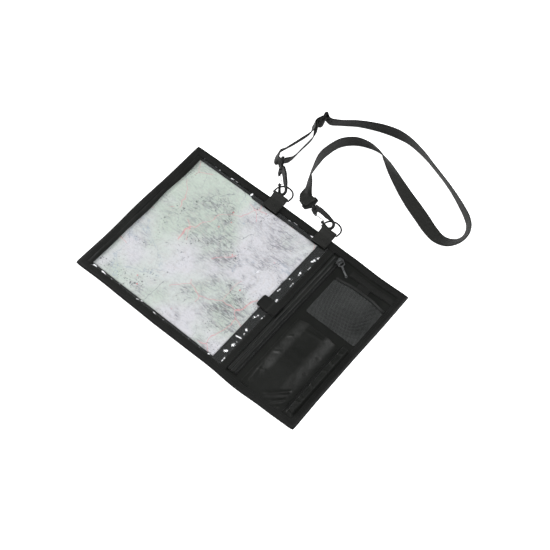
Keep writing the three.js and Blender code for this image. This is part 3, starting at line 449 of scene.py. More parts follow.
for scale, size, chance_over, ink, shift in ((430, 0.32, 0.55, (0.08, 0.08, 0.09), 0.3),
                                             (170, 0.24, 0.8, (0.05, 0.05, 0.06), 1.7),
                                             (110, 0.15, 0.86, (0.6, 0.12, 0.14), 2.9)):
    mark, chance = spots_mask(tree, place, scale, size, shift)
    some = calc(tree, "GREATER_THAN", chance, chance_over)
    print_colour = lay_over(tree, print_colour, ink, product(tree, product(tree, mark, some), built))
close_material(tree, {
    "Base Color": print_colour, "Roughness": 0.6, "Specular IOR Level": 0.3,
    "Normal": relief(tree, patches(tree, place, 1500.0, 2.0), 0.15, 0.05 * mm)})


def map_spot(u, v):
    x = map_left + u * (map_right - map_left)
    far = map_half - 2 * mm * ease((x - map_step) / (1.5 * mm))
    y = -map_half + v * (map_half + far)
    fold = 0.5 * mm * exp(-((x - map_step) / (5 * mm)) ** 2) + 0.3 * mm * exp(-((y - 4 * mm) / (6 * mm)) ** 2)
    wave = 0.35 * mm * noise.noise(Vector((x, y, 0)) * 16)
    return Vector((x, y, 1.75 * mm + wave + fold * 0.6)), (x, y)


map_piece = make_piece("paper_map", bend_grid(110, 110, map_spot), map_paper, ["map_sheet"],
                       thick=0.4 * mm, face_up=True)

# The window: clear vinyl film, sewn in under the binding on three sides. It has taken hard creases where the case
# was folded and rolled, most of them near its mouth, and their ridges carry painted white glints. Along its long
# edges it puckers.
film_left, film_right, film_half = -196 * mm, 68 * mm, 128.6 * mm
film_low = 2.85 * mm

film_creases = [
    # x, y, heading in degrees, length, width and rise, all but the heading in mm
    (60, 93, 70, 20, 3.0, 1.5), (57, 62, 100, 16, 2.6, 1.2), (52, 45, 35, 14, 2.4, 1.1),
    (60, 40, 90, 12, 2.2, 1.0), (60, 5, 95, 18, 2.6, 1.3), (53, -32, 60, 15, 2.6, 1.2),
    (62, -28, 85, 12, 2.2, 1.0), (58, -60, 110, 16, 2.8, 1.3), (57, -71, 15, 16, 2.4, 1.2),
    (58, -84, 80, 14, 2.6, 1.4), (55, -100, 50, 14, 2.4, 1.2), (62, -110, 100, 14, 2.6, 1.4),
    (57, -122, 20, 18, 2.6, 1.4), (51, 20, 80, 16, 2.4, 0.9), (63, 75, 95, 14, 2.2, 1.2),
    (-175, -119, 20, 18, 2.6, 1.3), (-155, -120, -15, 18, 2.6, 1.3), (-140, -119, 25, 14, 2.4, 1.2),
    (-125, -120, -20, 14, 2.4, 1.3), (-90, -119, 15, 18, 2.4, 1.2), (-60, -120, -10, 18, 2.4, 1.2),
    (-40, -119, 30, 12, 2.4, 1.2), (0, -119, 12, 16, 2.4, 1.2), (28, -120, -24, 14, 2.4, 1.3),
    (40, -119, 40, 14, 2.4, 1.3), (-180, 122, 8, 30, 2.6, 1.1), (-150, 122, -6, 34, 2.4, 1.0),
    (-118, 122, 5, 30, 2.4, 1.0), (-82, 118, 88, 12, 2.0, 1.3), (-52, 122, -8, 24, 2.4, 1.0),
    (-4, 122, 7, 36, 2.4, 1.1), (34, 120, -20, 20, 2.6, 1.2), (-182, 60, 84, 36, 2.6, 0.8),
    (-183, -30, 95, 40, 2.6, 0.8), (-183, -95, 80, 24, 2.4, 0.9), (-100, 40, 35, 60, 7, 0.5),
    (-20, -60, -50, 55, 8, 0.5), (-60, 90, 15, 50, 7, 0.45), (10, 30, 75, 60, 7, 0.5),
]


def crease_rise(x, y):
    total = 0.0
    for middle_x, middle_y, heading, length, width, rise in film_creases:
        dx, dy = x / mm - middle_x, y / mm - middle_y
        if abs(dx) > length or abs(dy) > length:
            continue
        angle = radians(heading)
        along = dx * cos(angle) + dy * sin(angle)
        aside = -dx * sin(angle) + dy * cos(angle) + 0.004 * along * along
        sharp = 0.55 * width * (1 + 0.5 * noise.noise(Vector((x, y, 0)) * 260))
        total += 0.8 * rise * exp(-abs(aside / sharp) ** 1.3) * max(0.0, 1 - (2 * along / length) ** 2)
    return total * mm


def film_spot(u, v):
    x = film_left + u * (film_right - film_left)
    y = -film_half + v * 2 * film_half
    edge = min(half_depth - binding_width - abs(y), x + half_length - binding_width)
    loose = ease(edge / (6 * mm))
    pucker = exp(-max(edge, 0) / (7 * mm)) * noise.noise(Vector((x * 80, y * 80, 2))) * 0.7
    slack = 0.14 * noise.noise(Vector((x * 16, y * 16, 7)))
    rise = crease_rise(x, y) + max(0.0, pucker + slack + 0.2) * mm
    return Vector((x, y, film_low + rise * loose)), (x, y)


clear_film, tree = new_material("clear_vinyl")
place = object_place(tree)
film_gloss = range_mask(tree, patches(tree, place, 45.0, 6.0, 0.7), 0.35, 0.7, 0.16, 0.05)
scratches = patches(tree, mapped(tree, place, (30.0, 220.0, 30.0), 28), 2.0, 6.0)
scratch_mask = range_mask(tree, scratches, 0.62, 0.72, 0.035)
film_ripple = relief(tree, patches(tree, place, 55.0, 3.0), 0.05, 0.4 * mm)
mirror_share = add_node(tree, "ShaderNodeFresnel", {"IOR": 1.5, "Normal": film_ripple}).outputs[0]
film_cover = calc(tree, "MULTIPLY_ADD", mirror_share, 0.9, scratch_mask)
# Painted highlight: along the crease ridges, broken into flecks, the film is painted white and almost opaque for the
# glints that the creases catch.
folded = add_node(tree, "ShaderNodeAttribute", attribute_name="crease").outputs["Fac"]
glint_flecks = patches(tree, mapped(tree, place, (110.0, 330.0, 110.0), -35), 1.0, 3.0, distortion=0.6)
painted_glints = range_mask(tree, product(tree, folded, range_mask(tree, glint_flecks, 0.4, 0.6, 1.0)), 0.34, 0.5, 0.9)
in_shadow_ray = add_node(tree, "ShaderNodeLightPath").outputs["Is Shadow Ray"]
close_material(tree, {
    "Base Color": (0.97, 0.98, 1.0, 1), "Metallic": calc(tree, "SUBTRACT", 1.0, painted_glints),
    "Roughness": film_gloss, "Normal": film_ripple,
    "Alpha": product(tree, calc(tree, "MAXIMUM", film_cover, painted_glints),
                     calc(tree, "SUBTRACT", 1.0, in_shadow_ray))})
film = make_piece("vinyl_film", bend_grid(230, 200, film_spot), clear_film, ["window_film"],
                  thick=0.35 * mm, face_up=True)
hard_crease = 0.8 * mm
bent = film.data.attributes.new("crease", "FLOAT", "POINT")
for vertex in film.data.vertices:
    bent.data[vertex.index].value = min(1, crease_rise(vertex.co.x, vertex.co.y) / hard_crease)

# The end band: a strip of the same nylon over the closed end of the film. The window's mouth at its other end
# is bound by a ribbed hem, which a short hook-and-loop tab holds shut.
end_band_edge = (0.05, 0.12, 0.02, 0.16, -0.1, 0.14, 0)


def end_band_spot(u, v):
    y = -121 * mm + v * 242 * mm
    place = v * (len(end_band_edge) - 1)
    i = min(int(place), len(end_band_edge) - 2)
    edge = end_band_edge[i] + (end_band_edge[i + 1] - end_band_edge[i]) * ease(place - i)
    reach = 7.2 * (1 + edge)
    x = -187.8 * mm + u * reach * mm
    rise = 0.5 * sin(pi * u) + 0.4 * noise.noise(Vector((u, y * 60, 3)))
    return Vector((x, y, (3.95 + rise * (1 - 0.5 * u)) * mm)), (x, y)


make_piece("end_band_cloth", bend_grid(10, 160, end_band_spot), nylon, ["end_band"], thick=0.8 * mm,
           face_up=True)


def tape_spots(x0, x1, y0, y1, low, crown, waver=0.25, seed=0.0):
    """A flat tape with round edges, crowned a little, that wavers along its length."""
    def spot(u, v):
        around = 2 * pi * v
        half = (x1 - x0) / 2
        out = cos(around)
        round_out = out / max(abs(out), abs(sin(around)) ** 0.35, 0.05)
        round_out = max(-1.0, min(1.0, round_out))
        y = y0 + u * (y1 - y0)
        drift = waver * noise.noise(Vector((seed, y * 45, 1)))
        x = (x0 + x1) / 2 + half * round_out + drift * 0.5
        top = crown * (1 - 0.35 * round_out ** 2)
        height = low + (top if sin(around) > 0 else 0.0) * min(1.0, abs(sin(around)) * 3)
        return Vector((x, y, height + max(drift, -0.1))) * mm, (y * mm, x * mm)
    return spot


hem = bend_grid(150, 20, tape_spots(62.8, 73.4, -120.5, 120.8, 3.45, 1.15, seed=4), capped=True)
make_piece("window_hem_tape", hem, grosgrain, ["window_hem"])
bm = bmesh.new()
for x in (64.6, 71.2):
    stitch_row(bm, [Vector((x, y, 4.62)) * mm for y in range(-118, 119, 4)])
make_piece("window_hem_stitches", bm, thread)


def tab_spot(u, v):
    x = 40.8 + 32.6 * u
    wide = 10 - 3.2 * (1 - sqrt(max(0.0, 1 - (1 - min(x - 40.8, 3.2) / 3.2) ** 2)))
    y = -7 + (2 * v - 1) * wide
    step = ease((x - 57) / 5.5)
    ripple = 0.18 * noise.noise(Vector((x * 0.2, y * 0.2, 9)))
    return Vector((x, y, 4.35 + 1.3 * step + ripple)) * mm, (x * mm, y * mm)


bm = bend_grid(44, 24, tab_spot)
closure = make_piece("closure_tab_cloth", bm, grosgrain, ["closure_tab"], thick=1.5 * mm, face_up=True)
soften = closure.modifiers.new("soft_edge", "BEVEL")
soften.width = 0.4 * mm
soften.segments = 2
soften.limit_method = "ANGLE"
bm = bmesh.new()
frame_line = [(43, -15), (60, -15), (60, 1), (43, 1), (43, -15)]
for (x0, y0), (x1, y1) in zip(frame_line, frame_line[1:]):
    line = []
    for share in (i / 12 for i in range(13)):
        x, y = x0 + (x1 - x0) * share, y0 + (y1 - y0) * share
        line.append(Vector((x, y, 5.14 + 1.3 * ease((x - 57) / 5.5))) * mm)
    stitch_row(bm, line, pitch=2.6 * mm, length=1.9 * mm, width=0.45 * mm)
make_piece("closure_tab_stitches", bm, thread)

# The fold strip: plain nylon sewn down in two narrow ribs, along which the case folds shut. It dips at its
# three seams and ripples a little between them.


def fold_strip_spot(u, v):
    x = 73.95 + u * 11.3
    y = -117.5 + v * 235
    dip = min(abs(x - edge) for edge in (73.95, 79.6, 85.25))
    rib = 1.9 * (1 - exp(-dip / 1.1))
    ripple = 0.22 * noise.noise(Vector((x * 0.3, y * 0.06, 5)))
    return Vector((x, y, 1.9 + rib + ripple)) * mm, (x * mm, y * mm)


make_piece("fold_strip_cloth", bend_grid(36, 140, fold_strip_spot), nylon, ["fold_strip"],
           thick=0.8 * mm, face_up=True)

# The zip: a woven tape with a nylon coil sewn to its middle, closed from end to end, a cast slider with a
# bridge at its far end, and a dark grey pull that lies over to the right.
zip_x, zip_half = 89.0, 117.0
zip_tape_cloth = cloth_material("zip_tape_cloth", (0.003, 0.0034, 0.003), (0.006, 0.0066, 0.0058), 1700, 0.55,
                                bump=0.5, sheen=0.012)
case_material("zip_tape", zip_tape_cloth)

coil_plastic, tree = new_material("zip_coil_plastic")
dust = patches(tree, object_place(tree), 180.0, 4.0)
coil_colour = mix_colours(tree, dust, (0.003, 0.0034, 0.003, 1), (0.011, 0.012, 0.011, 1))
close_material(tree, {
    "Base Color": coil_colour, "Roughness": 0.42, "Specular IOR Level": 0.5})

bm = bmesh.new()
coil_pitch = 1.3
for i in range(int(2 * zip_half / coil_pitch)):
    y = -zip_half + 0.8 + i * coil_pitch
    for side in (-1, 1):
        shift = 0 if side < 0 else coil_pitch / 2
        tooth = bmesh.ops.create_uvsphere(bm, u_segments=8, v_segments=5, radius=1)
        bmesh.ops.scale(bm, verts=tooth["verts"], vec=Vector((0.85, 0.42, 0.7)) * mm)
        spot = Vector((zip_x + side * 0.52, y + shift, 3.85)) * mm
        bmesh.ops.translate(bm, verts=tooth["verts"], vec=spot)
make_piece("zip_teeth", bm, coil_plastic, ["zip_coil"])


def softened_copy(node, width, segments=2):
    """A solid of the frame with its flat facets joined and its edges rounded, as cast metal and plastic are."""
    bm = bmesh.new()
    bm.from_mesh(next(o for o in scene.objects if o.get("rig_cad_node") == node).data)
    bmesh.ops.remove_doubles(bm, verts=bm.verts, dist=0.002 * mm)
    bmesh.ops.dissolve_limit(bm, angle_limit=radians(1.5), verts=bm.verts, edges=bm.edges)
    sharp = [edge for edge in bm.edges if len(edge.link_faces) == 2 and edge.calc_face_angle() > radians(32)]
    bmesh.ops.bevel(bm, geom=sharp, offset=width, segments=segments, profile=0.5, affect="EDGES", material=-1,
                    clamp_overlap=True)
    bmesh.ops.triangulate(bm, faces=bm.faces)
    return bm


def hard_material(name, dark, light, roughness, metallic=0.0, marks=160.0, relief_strength=0.12):
    """Moulded plastic or cast metal: a faint mottle, fine surface grain and slightly uneven gloss."""
    made, tree = new_material(name)
    place = object_place(tree)
    mottle = patches(tree, place, marks, 4.0)
    close_material(tree, {
        "Base Color": mix_colours(tree, mottle, (*dark, 1), (*light, 1)), "Metallic": metallic,
        "Roughness": range_mask(tree, mottle, 0.3, 0.7, roughness + 0.08, roughness - 0.06),
        "Specular IOR Level": 0.25,
        "Normal": relief(tree, patches(tree, place, 1900.0, 2.0), relief_strength, 0.05 * mm)})
    return made


grey_metal = hard_material("grey_zip_metal", (0.06, 0.062, 0.062), (0.15, 0.155, 0.155), 0.3, metallic=0.85)
make_piece("zip_slider_cast", softened_copy("zip_slider", 0.3 * mm), grey_metal, ["zip_slider"])
make_piece("zip_pull_cast", softened_copy("zip_pull", 0.22 * mm), grey_metal, ["zip_pull"],
           body="zip_pull")

# The organiser half: a second nylon sheet that carries three pockets. The card pocket stands open at its mouth
# and is creased at its near corner, the pen pocket is a narrow tube, and both mouths have a hem with two rows
# of stitches.
case_material("organiser_panel", nylon)
sheet_middle = 4.3


def fold_rise(folds, x, y):
    """Straight folds. Each row: its ends, its width and its rise, in mm."""
    total = 0.0
    for x0, y0, x1, y1, wide, rise in folds:
        run_x, run_y = x1 - x0, y1 - y0
        length = hypot(run_x, run_y)
        share = ((x - x0) * run_x + (y - y0) * run_y) / length ** 2
        aside = abs((x - x0) * run_y - (y - y0) * run_x) / length
        total += rise * ease(share * 4) * ease((1 - share) * 4) * exp(-(aside / wide) ** 2)
    return total


def pocket_sheet(name, x0, x1, y0, y1, columns, rows, lift, material, stands_for):
    def spot(u, v):
        x, y = x0 + u * (x1 - x0), y0 + v * (y1 - y0)
        fine = 0.25 * noise.noise(Vector((x * 0.11, y * 0.11, 6))) + 0.1 * noise.noise(Vector((x * 0.4, y * 0.4, 2)))
        held_down = ease(min(u, 1 - u) * 14) * ease(v * 10)
        return Vector((x, y, sheet_middle + lift(u, v, x, y) + fine * held_down)) * mm, (x * mm, y * mm)
    cloth = make_piece(name, bend_grid(columns, rows, spot), material, [stands_for], thick=0.9 * mm,
                       face_up=True)
    return spot


card_folds = [
    (134, -119, 172, -82, 2.6, 1.5), (148, -121, 173, -97, 2.2, 1.2), (160, -122, 173, -110, 2.0, 1.0),
    (112, -118, 104, -72, 3.0, 0.7), (103, -60, 118, -52, 2.2, 0.6), (103, -30, 116, -22, 2.0, 0.6),
    (103, -92, 122, -88, 2.4, 0.6), (160, -60, 172, -48, 2.6, 0.7), (118, -8, 160, -3, 3.0, 0.5),
    (158, -30, 172, -20, 2.2, 0.6),
]
card_seam = 0.0557


def card_lift(u, v, x, y):
    across = ease((u - card_seam / 2) / 0.3) * ease((1 - card_seam - u) / 0.28)
    along = ease(v / 0.45) * (0.75 + 0.25 * v)
    return 7.5 * across * along + fold_rise(card_folds, x, y) * ease(across * 4)


card_spot = pocket_sheet("card_pocket_cloth", 101, 172.8, -120.6, 4.9, 130, 180, card_lift, nylon,
                         "card_pocket")

pen_folds = [
    (173, -100, 188, -95, 1.6, 0.9), (173, -86, 188, -90, 1.4, 0.8), (173, -62, 188, -70, 1.8, 1.0),
    (173, -40, 188, -36, 1.4, 0.8), (173, -18, 188, -27, 1.8, 0.9), (173, -6, 188, -3, 1.4, 0.6),
    (173, -110, 188, -112, 1.4, 0.8),
]


def pen_lift(u, v, x, y):
    across = ease((u - 0.22) / 0.2) * ease((1 - u) / 0.16)
    return 8 * across * ease(v / 0.12) * (0.86 + 0.14 * v) + fold_rise(pen_folds, x, y) * ease(across * 4)


pen_spot = pocket_sheet("pen_pocket_cloth", 173.2, 187.6, -117.8, 7.9, 44, 180, pen_lift, nylon,
                        "pen_pocket")

bm = bmesh.new()
for spot, count in ((card_spot, 60), (pen_spot, 16)):
    for v in (0.985, 0.945):
        line = [spot(0.04 + 0.92 * i / count, v)[0] + Vector((0, 0, 0.55 * mm)) for i in range(count + 1)]
        stitch_row(bm, line, pitch=2.8 * mm, length=2.1 * mm, width=0.5 * mm)
line = [card_spot(0.012, i / 80)[0] + Vector((0, 0, 0.55 * mm)) for i in range(81)]
stitch_row(bm, line)
make_piece("pocket_stitches", bm, thread)

# The net pocket: knotted diamond net of black yarn that bulges in the middle, with a flat elastic along
# its mouth. The yarn's colour is lifted to dark grey as painted sheen on its threads.
net_yarn = cloth_material("net_yarn", (0.03, 0.032, 0.031), (0.10, 0.104, 0.103), 5200, 0.5, bump=0.3,
                          grain=0.1 * mm, sheen=0.05)
net_left, net_right, net_near, net_far = 101.3, 187.5, 20.2, 86.8
net_columns, net_rows = 66, 52


def net_point(u, v):
    across = ease((u - 0.04) / 0.34) * ease((0.97 - u) / 0.26)
    along = ease(v / 0.4) * (1 - 0.25 * ease((v - 0.6) / 0.4))
    x, y = net_left + u * (net_right - net_left), net_near + v * (net_far - net_near)
    fine = 0.5 * noise.noise(Vector((x * 0.1, y * 0.1, 3))) + 1.1 * fold_rise([(170, 58, 186, 65, 2.4, 1)], x, y)
    return Vector((x, y, sheet_middle + 9 * across * along + fine * ease(across * 3))) * mm


bm = bmesh.new()
knots = {(i, j): bm.verts.new(net_point(i / net_columns, j / net_rows))
         for i in range(net_columns + 1) for j in range(net_rows + 1) if (i + j) % 2 == 0}
for i in range(net_columns + 1):
    for j in range(net_rows + 1):
        around = [(i - 1, j), (i, j - 1), (i + 1, j), (i, j + 1)]
        if (i + j) % 2 and all(spot in knots for spot in around):
            bm.faces.new([knots[spot] for spot in around])
bmesh.ops.recalc_face_normals(bm, faces=bm.faces)
bmesh.ops.wireframe(bm, faces=bm.faces, thickness=0.62 * mm, use_replace=True, use_boundary=True,
                    use_even_offset=True)
make_piece("net_cloth", bm, net_yarn, ["mesh_pocket"])


def curve_point(points, place):
    """A centripetal curve through points. place runs from 0 to 1 with the same share for each span."""
    reach = place * (len(points) - 1)
    i = min(int(reach), len(points) - 2)
    t = reach - i
    p1, p2 = points[i], points[i + 1]
    p0 = points[i - 1] if i > 0 else 2 * p1 - p2
    p3 = points[i + 2] if i + 2 < len(points) else 2 * p2 - p1
    d1 = max((p2 - p1).length, 1e-9) ** 0.5
    d0 = max((p1 - p0).length, 1e-9) ** 0.5
    d2 = max((p3 - p2).length, 1e-9) ** 0.5
    start = ((p1 - p0) / d0 - (p2 - p0) / (d0 + d1) + (p2 - p1) / d1) * d1
    end = ((p2 - p1) / d1 - (p3 - p1) / (d1 + d2) + (p3 - p2) / d2) * d1
    bend = -3 * p1 + 3 * p2 - 2 * start - end
    return p1 + start * t + bend * t * t + (2 * p1 - 2 * p2 + start + end) * t ** 3


tape_section = [(-0.5, 0.0), (-0.49, 0.36), (-0.46, 0.5), (-0.3, 0.5), (-0.1, 0.5), (0.1, 0.5), (0.3, 0.5),
                (0.46, 0.5), (0.49, 0.36), (0.5, 0.0), (0.49, -0.36), (0.46, -0.5), (0.3, -0.5), (0.1, -0.5),
                (-0.1, -0.5), (-0.3, -0.5), (-0.46, -0.5), (-0.49, -0.36)]


def tape_frames(stations, steps_per_span):
    """The middle, width direction and facing of a tape at even steps. A station: middle, across, width."""
    middles = [station[0] for station in stations]
    spans = [station[1] * station[2] for station in stations]
    steps = (len(stations) - 1) * steps_per_span
    frames = []
    length = 0.0
    for i in range(steps + 1):
        t = i / steps
        middle = curve_point(middles, t)
        ahead = curve_point(middles, min(t + 0.02 / steps, 1)) - curve_point(middles, max(t - 0.02 / steps, 0))
        along = ahead.normalized()
        across = curve_point(spans, t)
        width = across.length
        across = (across - along * across.dot(along)).normalized()
        if frames:
            length += (middle - frames[-1][0]).length
        frames.append((middle, across, width, along.cross(across), length))
    return frames


def tape_mesh(frames, thick):
    def spot(u, v):
        middle, across, width, facing, length = frames[round(u * (len(frames) - 1))]
        a, b = tape_section[round(v * len(tape_section)) % len(tape_section)]
        return (middle + across * a * width + facing * b * thick) * mm, (length * mm, a * width * mm)
    return bend_grid(len(frames) - 1, len(tape_section), spot, capped=True)


def tape_piece(name, stations, steps, thick, material, stands_for=()):
    make_piece(name, tape_mesh(tape_frames(stations, steps), thick), material, stands_for)


hem_stations = []
for u in (0.006, 0.06, 0.12, 0.2, 0.3, 0.4, 0.5, 0.6, 0.7, 0.78, 0.86, 0.93, 0.994):
    point = net_point(u, 1) / mm
    hem_stations.append((Vector((point.x, 89.3, point.z + 0.4)), Vector((0, 1, 0)), 4.0))
elastic = cloth_material("ribbed_elastic", (0.006, 0.0065, 0.006), (0.018, 0.019, 0.018), 1500, 0.5, bump=0.8,
                         grain=0.25 * mm, sheen=0.03, on_uv=True)
tape_piece("net_elastic", hem_stations, 8, 1.6, elastic, ["mesh_hem"])

# The strip above the net: flat black webbing, sewn down with a row of stitches along each edge. A short tab of
# the same webbing hangs from it over the net's mouth.
webbing_dark = cloth_material("black_webbing", (0.0034, 0.0038, 0.0032), (0.0065, 0.007, 0.006), 900, 0.5,
                              bump=0.8, grain=0.3 * mm, sheen=0.015, on_uv=True)
strip_stations = [(Vector((x, 109 + 0.5 * sin(x * 0.11), 4.3 + 0.3 * noise.noise(Vector((x * 0.08, 1, 1))))),
                   Vector((0, 1, 0)), 9.8) for x in range(113, 188, 6)] + [
                  (Vector((187.6, 109, 4.3)), Vector((0, 1, 0)), 9.8)]
tape_piece("top_strip_web", strip_stations, 5, 1.0, webbing_dark, stands_for=["top_strip"])
tab_stations = [(Vector((143, y, z)), Vector((1, 0, 0)), 18.8)
                for y, z in ((103.6, 4.6), (101, 4.7), (98, 4.55), (95, 4.6), (92.8, 4.5))]
tape_piece("key_tab_web", tab_stations, 6, 1.5, webbing_dark, stands_for=["key_tab"])
bm = bmesh.new()
for y in (105.6, 112.4):
    stitch_row(bm, [Vector((x, y + 0.5 * sin(x * 0.11), 4.95)) * mm for x in range(114, 187, 3)],
               pitch=2.8 * mm, length=2.1 * mm, width=0.5 * mm)
make_piece("top_strip_stitches", bm, thread)

# Two loops of the strap's webbing are sewn to the far edge with a boxed cross, each round the bar of a moulded
# D-ring.
case_length, far_edge, strap_width, web_thick = 400, 133, 25, 1.5
charcoal_web = cloth_material("charcoal_webbing", (0.0085, 0.0088, 0.0078), (0.0155, 0.0158, 0.0140), 760, 0.5,
                              bump=0.9, grain=0.35 * mm, sheen=0.03, on_uv=True)
ring_bar_y, ring_half, ring_wire, ring_deep = far_edge + 8, 13.9, 1.3, 21
ring_rows = {"left": (-44.7, 9.6, 9), "right": (47.0, 9.6, 14)}
moulded = hard_material("black_moulded_plastic", (0.003, 0.0031, 0.003), (0.005, 0.0052, 0.005), 0.52)


def tube(points, radius, sides=12, closed=False):
    """A round wire through points in mm."""
    bm = bmesh.new()
    rings = []
    count = len(points)
    normal = None
    for i, point in enumerate(points):
        before = points[(i - 1) % count] if closed or i else point
        after = points[(i + 1) % count] if closed or i + 1 < count else point
        along = (after - before).normalized()
        normal = along.orthogonal() if normal is None else normal - along * normal.dot(along)
        normal.normalize()
        aside = along.cross(normal)
        rings.append([bm.verts.new((point + (normal * cos(2 * pi * k / sides)
                                             + aside * sin(2 * pi * k / sides)) * radius) * mm)
                      for k in range(sides)])
    pairs = list(zip(rings, rings[1:])) + ([(rings[-1], rings[0])] if closed else [])
    for ring, following in pairs:
        for k in range(sides):
            bm.faces.new((ring[k], ring[(k + 1) % sides], following[(k + 1) % sides], following[k]))
    if not closed:
        bm.faces.new(rings[0][::-1])
        bm.faces.new(rings[-1])
    bmesh.ops.recalc_face_normals(bm, faces=bm.faces)
    return bm


for side, (ring_x, bar_height, slope) in ring_rows.items():
    loop_path = [(115.2, 7.3), (122, 7.35), (129, 7.3), (133, 7.6), (137, 9.6), (139.3, 11.15), (141, 11.75),
                 (142.5, 11.15), (143.15, 9.6), (142.5, 8.05), (141, 7.45), (138, 6.7), (134.5, 5.9), (129, 5.72),
                 (122, 5.72), (115.2, 5.72)]
    stations = [(Vector((ring_x, y, z)), Vector((1, 0, 0)), strap_width - 0.4) for y, z in loop_path]
    tape_piece("web_loop_" + side, stations, 5, 1.4, charcoal_web, stands_for=["web_tab_" + side])
    box = [(-10.5, 117), (10.5, 117), (10.5, 131), (-10.5, 131), (-10.5, 117), (10.5, 131), (10.5, 117),
           (-10.5, 131)]
    bm = bmesh.new()
    stitch_row(bm, [Vector((ring_x + x, y, 8.15)) * mm for x, y in box], pitch=2.6 * mm, length=2.0 * mm,
               width=0.55 * mm)
    make_piece("web_loop_stitches_" + side, bm, thread)
    leg = ring_deep - ring_half
    outline = [Vector((-ring_half, 0, 0)), Vector((-ring_half, leg * 0.5, 0))]
    outline += [Vector((-ring_half * cos(pi * i / 36), leg + ring_half * sin(pi * i / 36), 0)) for i in range(37)]
    outline += [Vector((ring_half, leg * 0.5, 0)), Vector((ring_half, 0, 0))]
    outline += [Vector((ring_half * (1 - i / 6), 0, 0)) for i in range(1, 12)]
    turn = Matrix.Translation((ring_x, ring_bar_y, bar_height)) @ Matrix.Rotation(-radians(slope), 4, "X")
    make_piece("d_ring_wire_" + side, tube([turn @ point for point in outline], ring_wire, closed=True), moulded,
               ["d_ring_" + side])

# Each ring holds a snap hook of moulded black plastic: a body that curls round the ring, a swivel head with a
# slot for the webbing, and a sprung wire gate. The left hook's head stands upright.
steel_wire = hard_material("bright_steel", (0.13, 0.132, 0.135), (0.22, 0.224, 0.23), 0.3, metallic=1.0,
                           relief_strength=0.05)
hook_rows = {
    # nose from the ring's bar, heading, rise of the head, roll of the body, roll of the head
    "left": ((-5.4, 11.3, 6.8), -48.1, 7, 40, 79),
    "right": ((-7.2, 10.5, 7), -13.6, -2.3, 29, 0),
}
head_bar_back = 50.0


def hook_frame(side, roll):
    (nose_x, nose_y, nose_z), heading, head_rise, _, _ = hook_rows[side]
    pitch = atan2(head_rise, sqrt(head_bar_back ** 2 - head_rise ** 2))
    return (Matrix.Translation((ring_rows[side][0] + nose_x, ring_bar_y + nose_y, nose_z))
            @ Matrix.Rotation(radians(heading), 4, "Z") @ Matrix.Rotation(pitch, 4, "Y")
            @ Matrix.Rotation(radians(roll), 4, "X"))


def moulded_piece(name, node, width):
    make_piece(name, softened_copy(node, width), moulded, [node])


gate_side = 4.2 / 2 + 0.3 + 0.5
for side, row in hook_rows.items():
    moulded_piece("hook_moulding_" + side, "hook_body_" + side, 0.35 * mm)
    moulded_piece("hook_swivel_" + side, "hook_head_" + side, 0.45 * mm)
    corners = [Vector((-27.3, -5.4, gate_side)), Vector((-11, -2.3, gate_side)), Vector((-11, -2.3, -gate_side)),
               Vector((-27.3, -5.4, -gate_side))]
    wire = []
    for i, corner in enumerate(corners):
        before, after = corners[i - 1], corners[(i + 1) % 4]
        start = corner + (before - corner).normalized() * 0.7
        end = corner + (after - corner).normalized() * 0.7
        wire += [start, (start + end + 2 * corner) / 4, end]
    turn = hook_frame(side, row[3])
    make_piece("gate_wire_" + side, tube([turn @ point for point in wire], 0.5, sides=10, closed=True),
               steel_wire, ["hook_gate_" + side], body="gate_" + side)

# The neck strap: 25 mm charcoal webbing that stands on its edge behind the case in one long loop, runs through
# the upright adjuster and the left hook's head, and is sewn round the bar of the right hook's head.
strap_reach = 226
up = Vector((0, 0, 1))
# Each row: place along the case and out from its far edge, lean to the left of its way, and rise in mm.
outer_run = [
    (-0.186, 0.717, -0.18, 1), (-0.15, 0.761, -0.25, 0.3), (-0.1, 0.827, -0.21, 0), (-0.05, 0.872, -0.14, 0),
    (0, 0.906, -0.07, 0), (0.05, 0.929, -0.04, 0), (0.1, 0.941, -0.12, 0), (0.15, 0.932, -0.17, 0),
    (0.2, 0.913, -0.22, 0), (0.25, 0.885, -0.26, 0), (0.3, 0.854, -0.26, 0), (0.351, 0.815, -0.21, 0),
    (0.401, 0.768, -0.13, 0), (0.452, 0.712, -0.03, 0), (0.481, 0.667, 0.07, 0.3), (0.495, 0.614, 0.26, 0.3),
    (0.494, 0.571, 0.47, 0.3), (0.483, 0.539, 0.7, 0.3), (0.464, 0.518, 0.87, 0), (0.44, 0.512, 0.94, 0),
    (0.4, 0.533, 0.97, 0), (0.35, 0.571, 0.98, 0), (0.3, 0.606, 0.98, 0), (0.25, 0.638, 0.95, 0),
    (0.2, 0.673, 0.89, 0), (0.15, 0.709, 0.8, 0), (0.1, 0.742, 0.63, 0), (0.0675, 0.755, 0.45, 0),
    (0.035, 0.756, 0.36, 0), (0, 0.742, 0.22, 0), (-0.05, 0.698, 0.06, 0), (-0.089, 0.618, 0, 0),
    (-0.104, 0.496, -0.07, 0), (-0.103, 0.429, -0.1, 0), (-0.096, 0.32, 0.1, 0), (-0.088, 0.27, 0.16, 0.4),
    (-0.072, 0.205, 0.4, 1),
]
right_run = [
    (-0.195, 0.3, -0.33, 1), (-0.1945, 0.407, -0.34, 0.3), (-0.195, 0.553, -0.26, 0.4),
]
left_run = [
    (-0.217, 0.58, 0.36, 0.7), (-0.228, 0.451, 0.36, 0.4), (-0.247, 0.335, 0.42, 0.4),
    (-0.247, 0.272, 0.3, 1.4), (-0.233, 0.228, 0.35, 2.2),
]


def standing_stations(rows):
    feet = [Vector((x * case_length, far_edge + y * strap_reach, 0)) for x, y, _, _ in rows]
    made = []
    for i, (_, _, lean, rise) in enumerate(rows):
        way = feet[min(i + 1, len(feet) - 1)] - feet[max(i - 1, 0)]
        across = way.normalized().cross(up) * -lean + up * sqrt(1 - lean ** 2)
        foot = feet[i] + up * (0.15 + rise + abs(lean) * web_thick / 2)
        made.append((foot + across * strap_width / 2, across, strap_width))
    return made


